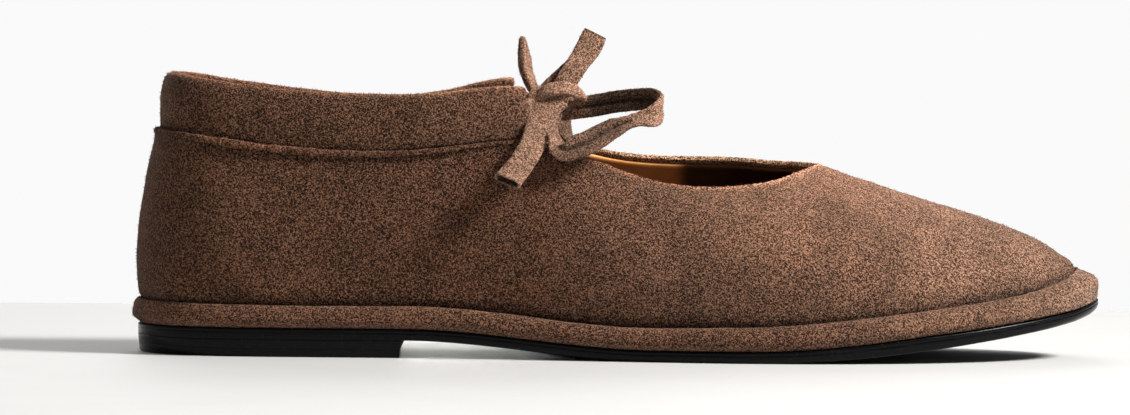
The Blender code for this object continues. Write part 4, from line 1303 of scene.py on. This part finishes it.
def make_collar_piece(finish):
    """The folded band: a soft pad with a light puff between foot and fold, and open channel mouths."""
    last = collar_turns()[-1] + 0.001
    turns = np.linspace(-last, last, COLLAR_AROUND)
    foot, into, upward = collar_frame(turns)
    height = collar_height(turns)
    middle = channel_middle(turns)
    folds = refined(FOLDS, 5)
    puff = 1 + 0.35 * np.array([noise.noise(Vector((t * 9.0, 3.0, 1.0))) for t in turns])
    rings = []
    for inward_share, up_share, bulge in folds:
        base = foot + into * (inward_share * COLLAR_THICK - bulge * COLLAR_BULGE * puff)[:, None]
        rings.append(base + upward * (up_share * height)[:, None])
    outside = np.array(rings).transpose(1, 0, 2)
    count = outside.shape[1]
    away = unit(outside - middle[:, None])
    front = np.clip((last - np.abs(turns)) / 0.035, 0, 1)[:, None]
    uneven = wobble(outside, 0.009, 21) * 0.22 * MM + wobble(outside, 0.0022, 22) * 0.07 * MM
    outside = outside + away * uneven[..., None]
    outside = outside - away * (MOUTH_TUCK * (1 - np.sqrt(1 - (1 - front) ** 2)))[..., None]
    angle = 2 * math.pi * (np.arange(count) + 0.5) / count - math.radians(115)
    x = np.sign(np.cos(angle)) * np.abs(np.cos(angle)) ** 0.6 * CHANNEL_DEEP / 2
    y = np.sign(np.sin(angle)) * np.abs(np.sin(angle)) ** 0.6 * CHANNEL_WIDE / 2
    channel = middle[:, None] - into[:, None] * x[None, :, None] + upward[:, None] * y[None, :, None]
    deep, far = MOUTH_STEPS, len(turns)
    layers = [channel[i] for i in range(deep, -1, -1)] + list(outside)
    layers += [channel[i] for i in range(far - 1, far - 2 - deep, -1)]
    points = np.concatenate(layers)
    row = np.repeat(np.arange(len(layers)), count)
    hidden = (row <= deep) | (row > deep + far)
    up_share = np.tile(folds[:, 1], len(layers))
    # Painted shade inside the channel, at the collar's foot and on its inner face, and a painted highlight
    # along the fold.
    tone = shades(COLLAR_TONES, points, np.where(hidden, 0.3, 1.0) * (1 - 0.25 * bell(up_share, 0.06)))
    tone = tone * np.where(np.tile(folds[:, 0] > 0.9, len(layers)), 0.9, 1.0)[:, None]
    tone = tone * (1 + 2.0 * bell(up_share - 1, 0.035))[:, None]
    cut = (row >= deep) & (row <= deep + 3) | (row >= deep + far - 3) & (row <= deep + far)
    fuzz = np.where(cut, 7.0, np.where(hidden, 0.0, 1.0 + 2.0 * bell(up_share - 1, 0.12)))
    piece = piece_from("collar_band", points, ring_faces(len(layers), count, False), finish, tone, fuzz)
    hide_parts("collar")
    return piece


# The collar's nap along the shoe, partly its own tone and partly painted shade: share of LENGTH and red,
# green, blue.
COLLAR_TONES = (
    Tone(0.00, 0.317, 0.246, 0.207),
    Tone(0.12, 0.247, 0.191, 0.155),
    Tone(0.28, 0.223, 0.174, 0.131),
    Tone(0.41, 0.468, 0.406, 0.369),
    Tone(1.00, 0.468, 0.406, 0.369),
)


# Bottom unit


# How much lower than in the solid the sole lies at the toe, and how much more its top edge: mm, by distance
# from the back of the heel.
Spring = namedtuple("Spring", "at lower edge")
SPRINGS = (
    Spring(215, 0.0, 0.0),
    Spring(228, 0.2, 0.3),
    Spring(240, 0.6, 0.5),
    Spring(248, 1.0, 0.6),
    Spring(255, 1.2, 0.8),
    Spring(259.5, 0.9, 0.7),
    Spring(262.5, 0.5, 0.5),
)


def toe_lower(x):
    return look_up(SPRINGS, "at", "lower", (x + LENGTH / 2) / MM) * MM


def toe_edge(x):
    return look_up(SPRINGS, "at", "edge", (x + LENGTH / 2) / MM) * MM + toe_lower(x)


def make_roll(finish):
    """The suede-wrapped platform with its soft roll, slightly gathered where it meets the upper."""
    turns = round_turns(ROLL_AROUND)
    welt = welt_width(turns)
    swell = closed_curve(OUTLINE, "swell", turns) * (MIDSOLE_THICK - GAP)
    at_tip = 1 - ease(np.abs(turns - math.pi) / TIP_REACH)
    base = lambda x: outsole_top(x) + GAP * 0.3 - toe_edge(x)
    rims = []
    for rim in ROLL:
        foot, rise, inset = 0, rim.rise + (rim.tip - rim.rise) * at_tip, rim.inset
        if rim is ROLL[0]:
            foot, rise, inset = sole_inset(turns), rise * (1 - 1.1 * at_tip), inset * (1 - 0.7 * at_tip)
        line = ring(turns, welt * inset + foot, base)
        line[:, 2] += rise * (swell + toe_edge(line[:, 0]))
        rims.append(line)
    rims.append(ring(turns, welt * 1.02, plate_top))
    rims = refined(rims, 5)
    first = ring(turns, welt * 0.6 + sole_inset(turns), base)
    way = -np.concatenate([inward(turns), np.zeros((len(turns), 1))], axis=-1)
    share = np.linspace(0, 1, len(rims))[:, None]
    push = wobble(rims, 0.006, 31) * 0.16 * MM + wobble(rims, 0.0018, 32) * 0.07 * MM
    gather = wobble(rims * np.array([1, 1, 0.3]), 0.0024, 33) * ROLL_GATHER * ease((share - 0.62) / 0.25)
    rims = rims + way[None] * ((push + gather) * np.sin(math.pi * share))[..., None]
    lump = wobble(rims, 0.0032, 34) * 0.16 * MM
    rims[..., 2] += lump * ease((share - 0.5) / 0.3) * (1 - ease((share - 0.92) / 0.08))
    rings = [first, *rims]
    height = np.append(0, share[:, 0])
    # Painted shade near the roll's top, in the groove under the upper.
    dark = 1 - 0.55 * ease((np.repeat(height, len(turns)) - 0.74) / 0.2)
    fuzz = np.repeat(np.append(0, 1.0 + 1.6 * (share[:, 0] > 0.72)), len(turns))
    piece = plate_piece("suede_roll", rings, finish, shades(ROLL_TONES, np.concatenate(rings), dark), fuzz)
    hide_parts("midsole")
    return piece


# The sole's edge from its tread up: how far in each ring lies, in mm, and its share of the height.
SOLE_EDGE = (
    (0.9, 0.0), (0.45, 0.02), (0.14, 0.12), (0.02, 0.3), (0.0, 0.52), (0.0, 0.66), (0.05, 0.70), (0.05, 0.73),
    (0.0, 0.77), (0.02, 0.88), (0.1, 0.97), (0.3, 1.0),
)


def sole_height(share):
    """The height of the sole's edge as a function of x: its tread where share is 0, its top where it is 1."""

    def height(x):
        low = rest_height(x) - toe_lower(x)
        return low + share * (outsole_top(x) - toe_edge(x) - low)

    return height


def make_black_sole(finish):
    turns = round_turns(SOLE_AROUND)
    rim = sole_inset(turns)
    along = (1 - np.cos(turns)) / 2
    free = ease((along - HEEL_END + 0.01) / 0.03)
    tip = ease((along - 0.9) / 0.1)
    rings = []
    for inset, share in SOLE_EDGE:
        round_off = inset * (0.12 + 0.88 * free) if share < 0.5 else inset * (1 - 0.6 * (1 - free))
        at_toe = tip * 4.4 * max(0.45 - share, 0) ** 1.5
        rings.append(ring(turns, rim + (round_off + at_toe) * MM, sole_height(share)))
    piece = plate_piece("black_outsole", rings, finish)
    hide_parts("outsole")
    return piece


# The heel's side from the floor up: how far in each ring lies, as a share of HEEL_TUCK, and how high.
HEEL_SIDE = (
    (1.82, 0.0), (1.12, 0.05), (0.77, 0.14), (0.616, 0.34), (0.42, 0.5), (0.448, 0.515), (0.392, 0.53),
    (0.14, 0.8), (0.0, 0.95), (0.028, 1.0),
)


def make_black_heel(finish):
    """The low heel: layers marked by fine lines, and a raked front face."""
    last = math.acos(1 - 2 * HEEL_END)
    side = np.concatenate([np.linspace(last, 0, HEEL_STEPS), -np.linspace(0, last, HEEL_STEPS)[1:]])
    rings = []
    for tuck, share in HEEL_SIDE:
        line = inset_line(side, sole_inset(side) + tuck * HEEL_TUCK)
        line[[0, -1], 0] -= BREAST_RAKE * (1 - share) + HEEL_LAYER * (share in (0.0, 1.0))
        line = np.concatenate([line, np.linspace(line[-1], line[0], BREAST_STEPS)[1:-1]])
        height = np.full((len(line), 1), share * (HEEL_LIFT + 0.02 * MM))
        rings.append(np.concatenate([line, height], axis=-1))
    count, n = len(rings[0]), len(side)
    faces = ring_faces(len(rings), count, False)
    for start in (0, (len(rings) - 1) * count):
        for i in range(n // 2):
            faces.append((start + i, start + i + 1, start + n - 2 - i, start + n - 1 - i))
        breast = [start + k for k in (*range(n - 1, count), 0)]
        for i in range(len(breast) // 2 - 1):
            faces.append((breast[i], breast[i + 1], breast[-i - 2], breast[-i - 1]))
    faces = [tuple(dict.fromkeys(face)) for face in faces]
    piece = piece_from("black_heel", np.concatenate(rings), [face for face in faces if len(face) > 2], finish)
    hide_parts("heel")
    return piece


# The sock's rim and top: how far in each ring lies and how high, as shares of INSOLE_THICK.
SOCK_RIM = (
    (0.6, 0), (0.1, 0.12), (0, 0.4), (0.02, 0.72), (0.25, 0.95), (0.6, 1.0), (1.4, 0.97), (2.4, 0.86),
    (3.2, 0.9),
)


def make_sock(finish):
    """The insole: a thin leather-covered pad with a bead along its rim."""
    turns = round_turns(SOCK_AROUND)
    foot = wall_points(turns, [0])[:, 0]
    lean = np.clip(-np.tan(np.radians(closed_curve(SECTIONS, "flare", turns))), 0, None)
    rings = []
    for inset, rise in SOCK_RIM:
        room = WALL + INSOLE_ROOM + (inset + lean * rise) * INSOLE_THICK
        line = foot[:, :2] + inward(turns) * room[:, None]
        rings.append(np.concatenate([line, (foot[:, 2] + rise * INSOLE_THICK)[:, None]], axis=-1))
    piece = plate_piece("insole_sock", rings, finish)
    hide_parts("insole")
    return piece


# Surroundings
def glow(name, place, aim, size, power, colour):
    """A soft rectangular light; place, aim and size in metres, power in watts."""
    light = bpy.data.lights.new(name, "AREA")
    light.shape = "RECTANGLE"
    light.size, light.size_y = size
    light.energy = power
    light.color = colour
    holder = put(name, light)
    holder.location = place
    holder.rotation_euler = (Vector(aim) - Vector(place)).to_track_quat("-Z", "Y").to_euler()
    return holder


def sheet(name, corners, finish):
    mesh = bpy.data.meshes.new(name)
    mesh.from_pydata(corners, [], [(0, 1, 2, 3)])
    mesh.materials.append(finish)
    return put(name, mesh)


def floor_finish():
    g = Graph("floor_paint")
    mottle = g.spread(g.grain(30, 3.0, 0.6), 0.3, 0.7)
    return g.finish(Base_Color=g.mix(mottle, (0.612, 0.612, 0.609), (0.627, 0.627, 0.625)), Roughness=0.6)


def backdrop_finish():
    """An even white glow that is clear when seen from behind."""
    finish = bpy.data.materials.new("backdrop_glow")
    finish.use_nodes = True
    tree = finish.node_tree
    shader = tree.nodes["Principled BSDF"]
    for key, value in (
        ("Base Color", (0, 0, 0, 1)),
        ("Roughness", 1),
        ("Specular IOR Level", 0),
        ("Emission Color", (BACKDROP_GLOW, BACKDROP_GLOW, BACKDROP_GLOW, 1)),
        ("Emission Strength", 1.0),
    ):
        shader.inputs[key].default_value = value
    side = add_node(tree, "ShaderNodeNewGeometry")
    clear = add_node(tree, "ShaderNodeBsdfTransparent")
    either = add_node(tree, "ShaderNodeMixShader")
    for i, source in enumerate((side.outputs["Backfacing"], shader.outputs[0], clear.outputs[0])):
        tree.links.new(source, either.inputs[i])
    tree.links.new(either.outputs[0], tree.nodes["Material Output"].inputs["Surface"])
    return finish


# The room: reach of floor and backdrop either way, and the backdrop's place behind the shoe, in metres
STAGE_REACH = 2.5

BACKDROP_AT = 0.24

BACKDROP_GLOW = 0.955

ROOM_LIGHT = 0.24

KEY_WAY = (0.68, -0.27, 0.68)

KEY_AWAY = 1.4


def make_surroundings():
    scene = bpy.context.scene
    scene.view_settings.view_transform = "Standard"
    world = bpy.data.worlds.new("room")
    world.use_nodes = True
    world.node_tree.nodes["Background"].inputs["Color"].default_value = (1, 1, 1, 1)
    world.node_tree.nodes["Background"].inputs["Strength"].default_value = ROOM_LIGHT
    scene.world = world
    far, back = STAGE_REACH, BACKDROP_AT
    floor = sheet("floor", [(-far, -far, 0), (far, -far, 0), (far, far, 0), (-far, far, 0)], floor_finish())
    corners = [(-far, back, 0), (far, back, 0), (far, back, far), (-far, back, far)]
    backdrop = sheet("backdrop", corners, backdrop_finish())
    backdrop.visible_diffuse = False
    backdrop.visible_glossy = False
    backdrop.visible_shadow = False
    key_place = Vector(KEY_WAY).normalized() * KEY_AWAY
    glow("key", key_place, (0, 0, 0.03), (0.36, 0.36), 34, (1, 0.985, 0.96))
    glow("back", (-0.25, 0.9, 0.55), (0, 0, 0.03), (0.8, 0.5), 3.6, (1, 0.99, 0.97))
    low = glow("low", (-0.045, 0.22, 0.014), (-0.042, 0, 0.0), (0.08, 0.02), 0.006, (1, 0.98, 0.95))
    low.data.spread = math.radians(34)
    low.visible_camera = False


def main():
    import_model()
    make_camera()
    lace_suede = suede_finish("lace_suede")
    laces = make_laces(lace_suede)
    knot = make_knot_body(lace_suede)
    suede = suede_finish("upper_suede")
    raw = suede_finish("raw_edge")
    nap_suede = suede_finish("nap_fibres")
    gold = leather_finish("lining_leather", (0.50, 0.22, 0.07), (0.72, 0.36, 0.13), shaded=True)
    sock = leather_finish("sock_leather", (0.30, 0.13, 0.045), (0.42, 0.20, 0.08), 0.5)
    black = sole_finish("sole_black")
    upper = make_suede_upper(suede)
    make_lining(gold)
    seam = make_seam_edge(raw)
    collar = make_collar_piece(suede)
    roll = make_roll(suede)
    make_black_sole(black)
    make_black_heel(black)
    make_sock(sock)

    tuft = make_tuft()
    tree = nap_tree(tuft)
    for name, source, density, length, seed in (
        ("upper_nap", upper, 0.36e6, 0.6 * MM, 1),
        ("collar_nap", collar, 0.40e6, 0.65 * MM, 2),
        ("roll_nap", roll, 0.36e6, 0.6 * MM, 3),
        ("seam_nap", seam, 0.5e6, 0.7 * MM, 4),
        ("knot_nap", knot[1], 1.6e6, 0.55 * MM, 7),
    ):
        grow_nap(tree, source, name, density, length, 1.0, seed, nap_suede)
    fuzz = [
        grow_nap(tree, piece, piece.name + "_nap", 1.6e6, 0.55 * MM, 1.0, 5 + i, nap_suede)
        for i, (piece, path) in enumerate(laces)
    ]
    bpy.data.objects.remove(tuft)

    ends = collar_turns()[[-1, 0]]
    for i, (piece, path) in enumerate(laces):
        tuple(channel_middle(ends)[i])
    make_surroundings()


main()
